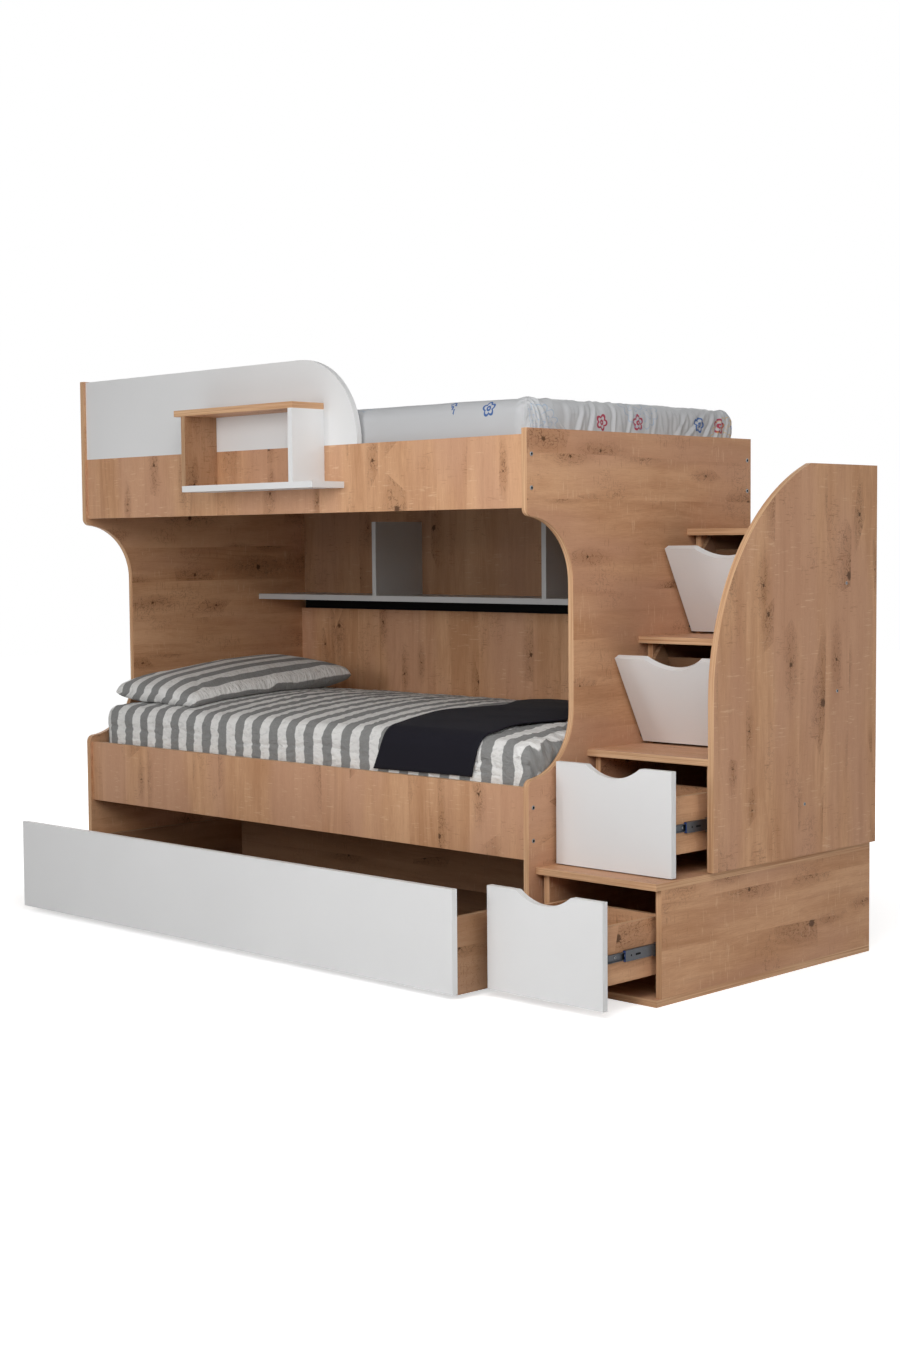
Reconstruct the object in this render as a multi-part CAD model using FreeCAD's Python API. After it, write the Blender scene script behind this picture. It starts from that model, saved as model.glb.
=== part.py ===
import FreeCAD, Part
import os
from math import atan2, ceil, cos, pi, radians, sin, sqrt

V = FreeCAD.Vector

# Bunk bed with a drawer staircase at its right-hand end, a roll-out drawer underneath
# and a guard panel with a small ledge unit. All sizes are in millimetres.
# While it is built, X = 0 is the outer face of the right end panel, Y = 0 the front
# edge of the end panels and Z = 0 the floor. The stairs stand at +X, the front is -Y.

# ---- driving dimensions -------------------------------------------------------------
board = 18.0                 # melamine-faced board used for every panel
seat = 0.3                   # play where one piece rests on, or slides in, another
same = 0.01                  # two places nearer than this are one place

bed_length = 1950.0          # over the outer faces of the two end panels
bed_depth = 967.0            # front edge to back edge of the end panels
right_height = 1450.0        # end panel beside the stairs
left_height = 1685.0         # taller end panel at the pillow end
neck_depth = 180.0           # how far the end panels are cut back beside the lower bunk
neck_radius = 174.0          # inner curves of that cut
nose_radius = 22.0           # rounded noses above and below it

rail_height = 190.0          # front rails
rail_setback = 9.0           # rail faces behind the panels' front edges
upper_rail_z = 1244.5        # bottom edge of the upper rail
lower_rail_z = 328.0         # bottom edge of the lower rail
lower_back_setback = 24.0    # lower back panel in front of the panels' back edges
lower_back_top = 930.0       # top edge of the lower back panel

guard_length = 1284.0        # guard panel on the upper rail
guard_height = 248.0
guard_radius = 240.0         # its rounded free end

shelf_z = 967.0              # underside of the back shelf
shelf_depth = 215.0
divider_height = 243.0
divider_positions = (580.0, 1331.0)      # left faces, from the left panel's inner face
slot_strip = 3.0             # dark hardboard strip behind the slot under the shelf
slot_strip_lap = 30.0        # how far it laps down behind the lower back panel

ledge_depth = 120.0          # ledge unit on the guard panel
ledge_left = 647.0           # left face of its wooden side, from the left panel
ledge_width = 500.0          # over its two sides
ledge_side_height = 206.0
ledge_bottom_z = 1313.0      # underside of its bottom board
ledge_top_overhang = 34.0    # top board past the wooden side
ledge_bottom_overhang = 82.0     # bottom board past the white side

slat_width = 70.0
slat_thickness = 18.0
slat_count = 13
slat_margin = 60.0           # from a panel to the first slat
cleat = 30.0                 # square batten under the slat ends
upper_deck_z = 1338.0        # top of the upper slats
lower_deck_z = 418.0         # top of the lower slats

upper_mattress_size = (1890.0, 900.0, 196.0)
lower_mattress_size = (1880.0, 880.0, 190.0)
mattress_corner = 60.0       # rounded upright corners
mattress_edge = 22.0         # rounded top edges
lower_mattress_left = 32.0   # gap between the lower mattress and the left panel

duvet_side = 14.0            # duvet on the front and the left side of the mattress
duvet_shoulder = 24.0        # duvet thickness at the mattress edges
duvet_crown = 72.0           # duvet thickness in the middle
duvet_back_lift = 12.0       # its back edge above its front one
duvet_drop = 105.0           # how far it hangs down the mattress front
pillow_size = (440.0, 640.0, 120.0)
pillow_centre = (252.0, 408.0)       # from the left panel, from the panels' front edge
pillow_seam = 52.0           # height of its seam above its underside
pillow_seam_half = 8.0
pillow_turn = -2.0           # degrees, seen from above
pillow_lean = 3.5            # degrees, raised at the back
pillow_sink = 14.0           # how far it sinks into the duvet
throw_thickness = 6.0
throw_width = 385.0
throw_right = 195.0          # front right corner, from the right end panel
throw_skew = 0.03            # how far it drifts left for each millimetre backwards
throw_hem_z = 528.0          # its front edge

stair_clear = 401.0          # end panel to the tall side panel
base_front = 27.0            # front edge of the base box
first_going = 208.5          # base edge to the first tread edge
going = 216.3                # tread edge to tread edge
base_top = 309.3
rise = 293.5
tread_count = 3
stair_back = 980.0           # back of the staircase
side_setback = 20.0          # sides of the two drawer boxes behind the tread edges
bin_setback = 26.0           # the same for the two tip-out boxes
left_side_gap = 11.0         # between the end panel and the left box sides
stair_back_board = 8.0
back_board_inset = 10.0

tall_top = 1360.0            # tall curved side panel
tall_radius = 650.0          # its long front curve
tall_shoulder = 428.0        # front edge to where the curve meets the level top
tall_gap = 3.7               # above the base box

front_width = 383.0          # four stair fronts
front_reveal = 1.7           # closed fronts behind the tread edges
drawer_front_gap = 3.0       # above and below a drawer front
pull_width = 180.0           # curved finger pull in each front
pull_depth = 31.0
pull_corner = 9.0
drawer_board = 15.0
drawer_height = 145.0
drawer_length = 250.0
drawer_rise = 54.0           # box side above the bottom edge of its front
drawer_floor = 4.0           # hardboard floor in a groove
drawer_groove = 6.0          # groove depth
drawer_floor_rise = 12.0
base_open = 197.0            # how far the two drawers stand open
second_open = 139.0

slide_gap = 12.7             # ball-bearing slide between drawer and box side
slide_rise = 66.0            # slide axis above the lower edge of the drawer side
slide_metal = 1.2
cabinet_member_height = 35.0
middle_member_height = 28.0
drawer_member_height = 20.0
cabinet_member_depth = 9.0
middle_member_offset = 2.8   # middle member from the box side
middle_member_depth = 8.2
drawer_member_depth = 7.0
slide_start = 1.2            # slide behind the front edge of the box side
middle_share = 0.585         # part of the drawer's travel that the middle member makes
ball_cage_length = 60.0
cage_inset = 0.8             # ball cages inside the members' lips
catch_length = 16.0          # plastic catch in the front of the middle member
catch_nose = 0.6             # how far it stands out of the member

bin_bottom_gap = 9.0         # tip-out fronts above the tread below
bin_top_gap = 4.0
bin_tilt = 27.5              # degrees, open
bin_pivot_rise = 12.0        # pivot above the bottom edge of the front
bin_play = 3.0               # beside the bin
bin_side = 12.0              # bin sides
bin_sheet = 4.0              # bin floor and back
bin_side_rise = 5.0          # bin sides above the bottom edge of the front
bin_side_height = 157.0      # where they meet the front
bin_depth = 147.0            # behind the front
bin_back_drop = 45.0         # back board below the sides' rear horns
bin_stop_gap = 0.5           # between the open bin's horns and the board above
pin_radius = 4.0
pin_play = 0.05
pin_in_panel = 12.0
pin_in_front = 25.0

trundle_gap = 2.0            # roll-out drawer front beside each end panel
trundle_bottom = 15.5        # its lower edge
trundle_height = 270.0
trundle_open = 275.0
trundle_side_height = 199.0
trundle_side_z = 13.0
trundle_length = 880.0
trundle_side_inset = 2.0
trundle_floor_z = 61.0
wheel_radius = 25.0
wheel_width = 18.0
axle_radius = 3.0
axle_play = 0.05
fork_metal = 2.5
fork_gap = 1.0               # wheel to fork
fork_length = 46.0
fork_foot = 18.0             # width of its legs at the axle
fork_below = 8.0             # legs below the axle
caster_plate = 3.0
wheel_inset_x = 150.0
wheel_inset_y = 90.0

# ---- places worked out from them ----------------------------------------------------
left_out = -bed_length
left_in = left_out + board
right_in = -board
upper_rail_top = upper_rail_z + rail_height
lower_rail_top = lower_rail_z + rail_height
rail_back = rail_setback + board
upper_back_y = bed_depth - rail_setback - board
lower_back_y = bed_depth - lower_back_setback - board
shelf_front = upper_back_y - shelf_depth
shelf_top = shelf_z + board
right_side_x = stair_clear - board
left_side_x = left_side_gap
left_side_in = left_side_x + board
front_x = (stair_clear - front_width) / 2
drawer_left = left_side_in + slide_gap
drawer_right = right_side_x - slide_gap
trundle_y = rail_setback - trundle_open
trundle_left = left_in + trundle_gap
trundle_right = right_in - trundle_gap
trundle_box_y = trundle_y + board
bin_tilt_rad = radians(bin_tilt)


def tread_front(step):
    """Front edge of the board above step 0 (the base) to step 3."""
    return base_front if step == 0 else base_front + first_going + (step - 1) * going


def tread_top(step):
    return base_top + step * rise


def box(x0, x1, y0, y1, z0, z1):
    return Part.makeBox(x1 - x0, y1 - y0, z1 - z0, V(x0, y0, z0))


def mirrored_x(shape, plane_x):
    return shape.mirror(V(plane_x, 0, 0), V(1, 0, 0))


def extruded(edges, direction):
    return Part.Face(Part.Wire(edges)).extrude(direction)


def polygon_edges(points):
    return [Part.LineSegment(a, b).toShape() for a, b in zip(points, points[1:])]


def arc_edge(start, middle, end):
    return Part.Arc(start, middle, end).toShape()


def group(solids):
    return Part.makeCompound([s for shape in solids for s in shape.Solids])


def rod(radius, start, direction, length):
    return Part.makeCylinder(radius, length, start, direction)


parts = {}

# ---- end panels ---------------------------------------------------------------------


def end_panel(x0, height):
    """Panel with the front cut back beside the lower bunk by two smooth curves."""
    centre_y = neck_depth - neck_radius
    lift = sqrt((neck_radius + nose_radius) ** 2 - (nose_radius - centre_y) ** 2)
    upper_z = upper_rail_z - lift
    lower_z = lower_rail_top + lift
    lean = atan2(lift, nose_radius - centre_y)

    def on_neck(angle, z, up):
        return V(x0, centre_y + neck_radius * cos(angle), z + up * neck_radius * sin(angle))

    def on_nose(angle, z, up):
        return V(x0, nose_radius - nose_radius * cos(angle), z - up * nose_radius * sin(angle))

    nose_end = pi - lean
    corners = [V(x0, 0, lower_rail_top), V(x0, 0, 0), V(x0, bed_depth, 0),
               V(x0, bed_depth, height), V(x0, 0, height), V(x0, 0, upper_rail_z)]
    edges = polygon_edges(corners)
    edges.append(arc_edge(on_nose(0, upper_rail_z, 1), on_nose(nose_end / 2, upper_rail_z, 1),
                          on_neck(lean, upper_z, 1)))
    edges.append(arc_edge(on_neck(lean, upper_z, 1), on_neck(lean / 2, upper_z, 1),
                          on_neck(0, upper_z, 1)))
    edges += polygon_edges([on_neck(0, upper_z, 1), on_neck(0, lower_z, -1)])
    edges.append(arc_edge(on_neck(0, lower_z, -1), on_neck(lean / 2, lower_z, -1),
                          on_neck(lean, lower_z, -1)))
    edges.append(arc_edge(on_neck(lean, lower_z, -1),
                          on_nose(nose_end / 2, lower_rail_top, -1),
                          on_nose(0, lower_rail_top, -1)))
    return extruded(edges, V(board, 0, 0))


parts["left_end_panel"] = end_panel(left_out, left_height)
parts["right_end_panel"] = end_panel(right_in, right_height)

# ---- rails, guard, back and shelf ---------------------------------------------------

parts["upper_front_rail"] = box(left_in, right_in, rail_setback, rail_back,
                                upper_rail_z, upper_rail_top)
parts["lower_front_rail"] = box(left_in, right_in, rail_setback, rail_back,
                                lower_rail_z, lower_rail_top)
parts["upper_back_panel"] = box(left_in, right_in, upper_back_y, upper_back_y + board,
                                shelf_z, upper_rail_top)
parts["lower_back_panel"] = box(left_in, right_in, lower_back_y, lower_back_y + board,
                                lower_rail_z, lower_back_top)
shelf = box(left_in, right_in, shelf_front, upper_back_y, shelf_z, shelf_top)
dividers = [box(left_in + x, left_in + x + board, shelf_front, upper_back_y,
                shelf_top, shelf_top + divider_height) for x in divider_positions]
strip_y = lower_back_y + board
strip = box(left_in, right_in, strip_y, strip_y + slot_strip,
            lower_back_top - slot_strip_lap, shelf_z - seat)


def guard_panel():
    """Straight panel on the rail whose free upper corner is a large quarter round."""
    x0, x1 = left_in, left_in + guard_length
    z0, z1 = upper_rail_top, upper_rail_top + guard_height
    y = rail_setback
    bend = V(x1 - guard_radius, y, z1 - guard_radius)
    half = guard_radius * sin(pi / 4)
    edges = polygon_edges([V(x1 - guard_radius, y, z1), V(x0, y, z1), V(x0, y, z0),
                           V(x1, y, z0), V(x1, y, z1 - guard_radius)])
    edges.append(arc_edge(V(x1, y, z1 - guard_radius), bend + V(half, 0, half),
                          V(x1 - guard_radius, y, z1)))
    return extruded(edges, V(0, board, 0))


ledge_x0 = left_in + ledge_left
ledge_x1 = ledge_x0 + ledge_width
ledge_y0 = rail_setback - ledge_depth
ledge_z0 = ledge_bottom_z + board
ledge_z1 = ledge_z0 + ledge_side_height

parts["guard_panel"] = guard_panel()
parts["back_shelf"] = shelf
parts["shelf_dividers"] = group(dividers)
parts["slot_backing_strip"] = strip
parts["ledge_top"] = box(ledge_x0 - ledge_top_overhang, ledge_x1, ledge_y0, rail_setback,
                         ledge_z1, ledge_z1 + board)
parts["ledge_bottom"] = box(ledge_x0, ledge_x1 + ledge_bottom_overhang, ledge_y0,
                            rail_setback, ledge_bottom_z, ledge_z0)
parts["ledge_left_side"] = box(ledge_x0, ledge_x0 + board, ledge_y0, rail_setback,
                               ledge_z0, ledge_z1)
parts["ledge_right_side"] = box(ledge_x1 - board, ledge_x1, ledge_y0, rail_setback,
                                ledge_z0, ledge_z1)

# ---- slatted decks ------------------------------------------------------------------


def deck(top, back):
    """Slats across the bed, and the two battens that carry their ends."""
    span = right_in - left_in - 2 * slat_margin - slat_width
    pitch = span / (slat_count - 1)
    slats = []
    for i in range(slat_count):
        x = left_in + slat_margin + i * pitch
        slats.append(box(x, x + slat_width, rail_back + seat, back - seat,
                         top - slat_thickness, top))
    z1 = top - slat_thickness
    cleats = [box(left_in + seat, right_in - seat, y, y + cleat, z1 - cleat, z1)
              for y in (rail_back, back - cleat)]
    return slats, cleats


upper_slats, upper_cleats = deck(upper_deck_z, upper_back_y)
lower_slats, lower_cleats = deck(lower_deck_z, lower_back_y)
parts["upper_deck_slats"] = group(upper_slats)
parts["lower_deck_slats"] = group(lower_slats)
parts["deck_cleats"] = group(upper_cleats + lower_cleats)

# ---- mattresses and bedding ---------------------------------------------------------


def upright_edges(shape):
    return [e for e in shape.Edges
            if abs(e.Vertexes[0].X - e.Vertexes[-1].X) < same
            and abs(e.Vertexes[0].Y - e.Vertexes[-1].Y) < same]


def level_edges(shape, z):
    return [e for e in shape.Edges if all(abs(v.Z - z) < same for v in e.Vertexes)]


def rounded_block(x0, x1, y0, y1, z0, z1):
    shape = box(x0, x1, y0, y1, z0, z1)
    shape = shape.makeFillet(mattress_corner, upright_edges(shape))
    return shape.makeFillet(mattress_edge, level_edges(shape, z1))


middle_x = (left_in + right_in) / 2
upper_middle_y = (rail_back + upper_back_y) / 2
length, width, height = upper_mattress_size
upper_mattress_z = upper_deck_z + seat
parts["upper_mattress"] = rounded_block(
    middle_x - length / 2, middle_x + length / 2,
    upper_middle_y - width / 2, upper_middle_y + width / 2,
    upper_mattress_z, upper_mattress_z + height)

length, width, height = lower_mattress_size
mattress_x0 = left_in + lower_mattress_left
mattress_x1 = mattress_x0 + length
mattress_y1 = lower_back_y - seat
mattress_y0 = mattress_y1 - width
mattress_z0 = lower_deck_z + seat
mattress_z1 = mattress_z0 + height
parts["lower_mattress"] = rounded_block(mattress_x0, mattress_x1, mattress_y0, mattress_y1,
                                        mattress_z0, mattress_z1)


def duvet_prism(x0, x1, grow, hem):
    """Cross-section of the duvet's outer surface, run along the bed."""
    y0 = mattress_y0 - duvet_side - grow
    y1 = mattress_y1
    edge = mattress_z1 + duvet_shoulder + grow
    crown = mattress_z1 + duvet_crown + grow
    turn = mattress_edge + duvet_shoulder
    corner = turn * (1 - sqrt(0.5))
    back_edge = edge + duvet_back_lift
    edges = [arc_edge(V(x0, y0 + turn, edge), V(x0, (y0 + y1) / 2, crown),
                      V(x0, y1 - turn, back_edge))]
    edges += polygon_edges([V(x0, y1 - turn, back_edge), V(x0, y1, back_edge - turn / 2),
                            V(x0, y1, hem), V(x0, y0, hem), V(x0, y0, edge - turn)])
    edges.append(arc_edge(V(x0, y0, edge - turn), V(x0, y0 + corner, edge - corner),
                          V(x0, y0 + turn, edge)))
    return extruded(edges, V(x1 - x0, 0, 0))


duvet_x0 = mattress_x0 - duvet_side
duvet_x1 = right_in - seat
duvet_hem_z = mattress_z1 - duvet_drop
plan = box(duvet_x0, duvet_x1 + mattress_corner, mattress_y0 - duvet_side,
           mattress_y1 + mattress_corner, duvet_hem_z, mattress_z1 + 2 * duvet_crown)
plan = plan.makeFillet(mattress_corner, upright_edges(plan))
mattress_room = box(mattress_x0 - seat, duvet_x1 + board, mattress_y0 - seat,
                    mattress_y1 + board, duvet_hem_z - board, mattress_z1 + seat)
mattress_room = mattress_room.makeFillet(mattress_corner, upright_edges(mattress_room)[:1])
duvet_outer = duvet_prism(duvet_x0, duvet_x1, 0, duvet_hem_z)
parts["duvet"] = duvet_outer.common(plan).cut(mattress_room)


def pillow():
    """Plump cushion: what a lens-shaped prism across and one along have in common."""
    wide, deep, thick = pillow_size
    low, high = pillow_seam - pillow_seam_half, pillow_seam + pillow_seam_half
    lenses = []
    for half, point, way in ((wide / 2, lambda u, z: V(u, -deep, z), V(0, 2 * deep, 0)),
                             (deep / 2, lambda u, z: V(-wide, u, z), V(2 * wide, 0, 0))):
        edges = [arc_edge(point(-half, low), point(0, 0), point(half, low)),
                 *polygon_edges([point(half, low), point(half, high)]),
                 arc_edge(point(half, high), point(0, thick), point(-half, high)),
                 *polygon_edges([point(-half, high), point(-half, low)])]
        lenses.append(extruded(edges, way))
    shape = lenses[0].common(lenses[1])
    shape.rotate(V(0, 0, 0), V(1, 0, 0), pillow_lean)
    shape.rotate(V(0, 0, 0), V(0, 0, 1), pillow_turn)
    shape.translate(V(left_in + pillow_centre[0], pillow_centre[1],
                      mattress_z1 + duvet_crown - pillow_sink))
    return shape.cut(duvet_prism(duvet_x0 - board, duvet_x1, seat, duvet_hem_z))


parts["pillow"] = pillow()


def throw():
    """Folded blanket laid across the duvet, a little askew, its front edge hanging."""
    front_y = mattress_y0 - duvet_side - seat - throw_thickness
    back_y = mattress_y1 - board
    sheet = duvet_prism(duvet_x0, duvet_x1, seat + throw_thickness, throw_hem_z)
    sheet = sheet.cut(duvet_prism(duvet_x0 - board, duvet_x1 + board, seat, duvet_hem_z))
    right, left = -throw_right, -throw_right - throw_width
    drift = throw_skew * (back_y - front_y)
    corners = [V(left, front_y, 0), V(right, front_y, 0), V(right - drift, back_y, 0),
               V(left - drift, back_y, 0), V(left, front_y, 0)]
    cutter = extruded(polygon_edges(corners), V(0, 0, right_height))
    return sheet.common(cutter)


parts["throw"] = throw()

# ---- staircase boxes ----------------------------------------------------------------


def compartment(step):
    """Clear height between the boards below and above a stair box."""
    z0 = board if step == 0 else tread_top(step - 1)
    return z0, tread_top(step) - board


left_sides, right_sides, back_boards = [], [], []
for step in range(tread_count + 1):
    z0, z1 = compartment(step)
    y0 = tread_front(step) + (bin_setback if step > 1 else side_setback)
    y_back = stair_back - back_board_inset
    left_sides.append(box(left_side_x, left_side_in, y0, stair_back, z0, z1))
    right_sides.append(box(right_side_x, stair_clear, y0, stair_back, z0, z1))
    back_boards.append(box(left_side_in, right_side_x, y_back - stair_back_board, y_back,
                           z0, z1))

parts["base_bottom_board"] = box(0, stair_clear, base_front, stair_back, 0, board)
parts["base_top_board"] = box(0, stair_clear, base_front, stair_back,
                              base_top - board, base_top)
treads = [box(0, stair_clear, tread_front(n), stair_back, tread_top(n) - board, tread_top(n))
          for n in range(1, tread_count + 1)]
for name, tread in zip(("second_tread", "third_tread", "top_tread"), treads):
    parts[name] = tread
parts["stair_back_boards"] = group(back_boards)


def tall_side():
    """Side panel outside the boxes: straight front edge, then one long curve to its top."""
    x, z0 = stair_clear, base_top + tall_gap
    tall_front = tread_front(1)
    centre_y = tall_front + tall_radius
    short = tall_radius - tall_shoulder
    centre_z = tall_top - sqrt(tall_radius ** 2 - short ** 2)
    end = atan2(tall_top - centre_z, -short)

    def on_curve(angle):
        return V(x, centre_y + tall_radius * cos(angle), centre_z + tall_radius * sin(angle))

    edges = polygon_edges([on_curve(end), V(x, stair_back, tall_top), V(x, stair_back, z0),
                           V(x, tall_front, z0), on_curve(pi)])
    edges.append(arc_edge(on_curve(pi), on_curve((pi + end) / 2), on_curve(end)))
    return extruded(edges, V(board, 0, 0))


parts["tall_side_panel"] = tall_side()
parts["stair_left_sides"] = group(left_sides)
parts["stair_right_sides"] = group(right_sides)

# ---- stair fronts -------------------------------------------------------------------


def pull_front(face_y, z0, z1):
    """White front with a curved finger pull cut into its top edge."""
    x0, x1 = front_x, front_x + front_width
    middle = (x0 + x1) / 2
    left, right = middle - pull_width / 2, middle + pull_width / 2
    edges = polygon_edges([V(left, face_y, z1), V(x0, face_y, z1), V(x0, face_y, z0),
                           V(x1, face_y, z0), V(x1, face_y, z1), V(right, face_y, z1)])
    edges.append(arc_edge(V(right, face_y, z1), V(middle, face_y, z1 - pull_depth),
                          V(left, face_y, z1)))
    front = extruded(edges, V(0, board, 0))
    corners = [e for e in front.Edges
               if all(abs(abs(v.X - middle) - pull_width / 2) < same
                      and abs(v.Z - z1) < same for v in e.Vertexes)
               and abs(e.Vertexes[0].Y - e.Vertexes[-1].Y) > same]
    return front.makeFillet(pull_corner, corners)


# ---- drawers on ball-bearing slides -------------------------------------------------


def drawer_box(y0, z0):
    """Two sides and a back round a hardboard floor that sits in grooves."""
    y1 = y0 + drawer_length
    z1 = z0 + drawer_height
    inner_left, inner_right = drawer_left + drawer_board, drawer_right - drawer_board
    floor_z = z0 + drawer_floor_rise
    floor = box(inner_left - drawer_groove, inner_right + drawer_groove, y0,
                y1 - drawer_board + drawer_groove, floor_z, floor_z + drawer_floor)
    sides = [box(drawer_left, inner_left, y0, y1, z0, z1),
             box(inner_right, drawer_right, y0, y1, z0, z1)]
    back = box(inner_left, inner_right, y1 - drawer_board, y1, z0, z1)
    return group([piece.cut(floor) for piece in sides + [back]]), floor


def channel(x_web, toward, depth, height, y0, y1, z):
    """C-shaped strip of steel along Y, its web at x_web and its lips toward +X or -X."""
    half = height / 2
    x_in, x_lip = x_web + toward * slide_metal, x_web + toward * depth
    points = [(x_web, -half), (x_lip, -half), (x_lip, -half + slide_metal),
              (x_in, -half + slide_metal), (x_in, half - slide_metal),
              (x_lip, half - slide_metal), (x_lip, half), (x_web, half), (x_web, -half)]
    outline = [V(x, y0, z + dz) for x, dz in points]
    return extruded(polygon_edges(outline), V(0, y1 - y0, 0))


def slide_set(box_edge_y, z, travel):
    """The right-hand slide, drawn out by travel; the left-hand one is its mirror image."""
    start = box_edge_y + slide_start
    wall = right_side_x
    cabinet = channel(wall, -1, cabinet_member_depth, cabinet_member_height,
                      start, start + drawer_length, z)
    middle_y = start - middle_share * travel
    middle_end = middle_y + drawer_length
    middle_x_web = wall - middle_member_offset
    middle = channel(middle_x_web, -1, middle_member_depth, middle_member_height,
                     middle_y, middle_end, z)
    inner_y = start - travel
    inner = channel(drawer_right, 1, drawer_member_depth, drawer_member_height,
                    inner_y, inner_y + drawer_length - slide_start, z)
    lip_x = middle_x_web - middle_member_depth
    cages = []
    for up in (-1, 1):
        outer_z = cabinet_member_height / 2 - slide_metal - seat
        inner_z = middle_member_height / 2 + seat
        pair = sorted((z + up * outer_z, z + up * inner_z))
        cages.append(box(lip_x + cage_inset, middle_x_web - slide_metal,
                         middle_end - ball_cage_length, middle_end, *pair))
        outer_z = middle_member_height / 2 - slide_metal - seat
        inner_z = drawer_member_height / 2 + seat
        pair = sorted((z + up * outer_z, z + up * inner_z))
        cage_y = middle_y + 2 * catch_length
        cages.append(box(lip_x + cage_inset, drawer_right + drawer_member_depth - cage_inset,
                         cage_y, cage_y + ball_cage_length, *pair))
    catch_x = drawer_right + drawer_member_depth + seat
    catch_y0, catch_y1 = middle_y - catch_nose, middle_y + catch_length
    catch_half = middle_member_height / 2 - slide_metal
    catch = box(catch_x, middle_x_web - slide_metal, catch_y0, catch_y1,
                z - catch_half, z + catch_half)
    for up in (-1, 1):
        pair = sorted((z + up * (drawer_member_height / 2 + seat), z + up * catch_half))
        catch = catch.fuse(box(lip_x, catch_x, catch_y0, catch_y1, *pair))
    catch = catch.removeSplitter()
    sets = []
    axis_x = (left_side_in + right_side_x) / 2
    for members in ([cabinet], [middle] + cages, [inner], [catch]):
        sets.append(members + [mirrored_x(m, axis_x) for m in members])
    return sets


cabinet_members = []
for prefix, step, travel in (("base", 0, base_open), ("second", 1, second_open)):
    z0, z1 = compartment(step)
    face_y = tread_front(step) + front_reveal - travel
    front_z0, front_z1 = z0 + drawer_front_gap, z1 - drawer_front_gap
    box_z = front_z0 + drawer_rise
    sides, floor = drawer_box(face_y + board, box_z)
    edge_y = tread_front(step) + side_setback
    cabinet, middle, inner, catch = slide_set(edge_y, box_z + slide_rise, travel)
    cabinet_members += cabinet
    parts[prefix + "_drawer_front"] = pull_front(face_y, front_z0, front_z1)
    parts[prefix + "_drawer_box"] = sides
    parts[prefix + "_drawer_floor"] = floor
    parts[prefix + "_slide_middle_members"] = group(middle)
    parts[prefix + "_slide_drawer_members"] = group(inner)
    parts[prefix + "_slide_catches"] = group(catch)
parts["slide_cabinet_members"] = group(cabinet_members)

# ---- tip-out bins -------------------------------------------------------------------


def bin_box(back_y, z0, pivot_y, pivot_z, stop_z):
    """Two sides rising to rear horns that stop the open bin, with a thin floor and back."""
    x0, x1 = left_side_in + bin_play, right_side_x - bin_play
    rear_y = back_y + bin_depth
    horn = (stop_z - pivot_z - (rear_y - pivot_y) * sin(bin_tilt_rad)) / cos(bin_tilt_rad)
    horn_z = pivot_z + horn
    outline = [V(x0, back_y, z0), V(x0, rear_y, z0), V(x0, rear_y, horn_z),
               V(x0, back_y, z0 + bin_side_height), V(x0, back_y, z0)]
    side = extruded(polygon_edges(outline), V(bin_side, 0, 0))
    other = side.copy()
    other.translate(V(x1 - x0 - bin_side, 0, 0))
    inner_left, inner_right = x0 + bin_side, x1 - bin_side
    floor = box(inner_left, inner_right, back_y, rear_y, z0, z0 + bin_sheet)
    rear = box(inner_left, inner_right, rear_y - bin_sheet, rear_y,
               z0 + bin_sheet, horn_z - bin_back_drop)
    return [side, other, floor, rear]


pins = []
for prefix, step in (("lower", 2), ("upper", 3)):
    z0, z1 = compartment(step)
    front_z0 = z0 + bin_bottom_gap
    face_y = tread_front(step) + front_reveal
    pivot_y, pivot_z = face_y + board / 2, front_z0 + bin_pivot_rise
    front = pull_front(face_y, front_z0, z1 - bin_top_gap)
    for x, way in ((0.0, 1), (stair_clear, -1)):
        direction = V(way, 0, 0)
        pins.append(rod(pin_radius, V(x - way * pin_in_panel, pivot_y, pivot_z), direction,
                        pin_in_panel + front_x + pin_in_front))
        front = front.cut(rod(pin_radius + pin_play, V(x, pivot_y, pivot_z), direction,
                              front_x + pin_in_front + seat))
    tilted = [front] + bin_box(face_y + board, front_z0 + bin_side_rise, pivot_y, pivot_z,
                               z1 - bin_stop_gap)
    for piece in tilted:
        piece.rotate(V(0, pivot_y, pivot_z), V(1, 0, 0), bin_tilt)
    parts[prefix + "_bin_front"] = tilted[0]
    parts[prefix + "_bin_box"] = group(tilted[1:])
parts["bin_pivot_pins"] = group(pins)
for name in ("right_end_panel", "tall_side_panel"):
    parts[name] = parts[name].cut(parts["bin_pivot_pins"])

# ---- roll-out drawer ----------------------------------------------------------------

side_left = trundle_left + trundle_side_inset
side_right = trundle_right - trundle_side_inset
box_back = trundle_box_y + trundle_length
side_top = trundle_side_z + trundle_side_height
parts["trundle_front"] = box(trundle_left, trundle_right, trundle_y, trundle_box_y,
                             trundle_bottom, trundle_bottom + trundle_height)
parts["trundle_box"] = group([
    box(side_left, side_left + board, trundle_box_y, box_back, trundle_side_z, side_top),
    box(side_right - board, side_right, trundle_box_y, box_back, trundle_side_z, side_top),
    box(side_left + board, side_right - board, box_back - board, box_back,
        trundle_side_z, side_top)])
parts["trundle_floor"] = box(side_left + board, side_right - board, trundle_box_y,
                             box_back - board, trundle_floor_z, trundle_floor_z + board)


def wheel(x, y):
    """Plastic roller bored for its axle."""
    start = V(x - wheel_width / 2, y, wheel_radius)
    tread = rod(wheel_radius, start, V(1, 0, 0), wheel_width)
    return tread.cut(rod(axle_radius + axle_play, start, V(1, 0, 0), wheel_width))


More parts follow.
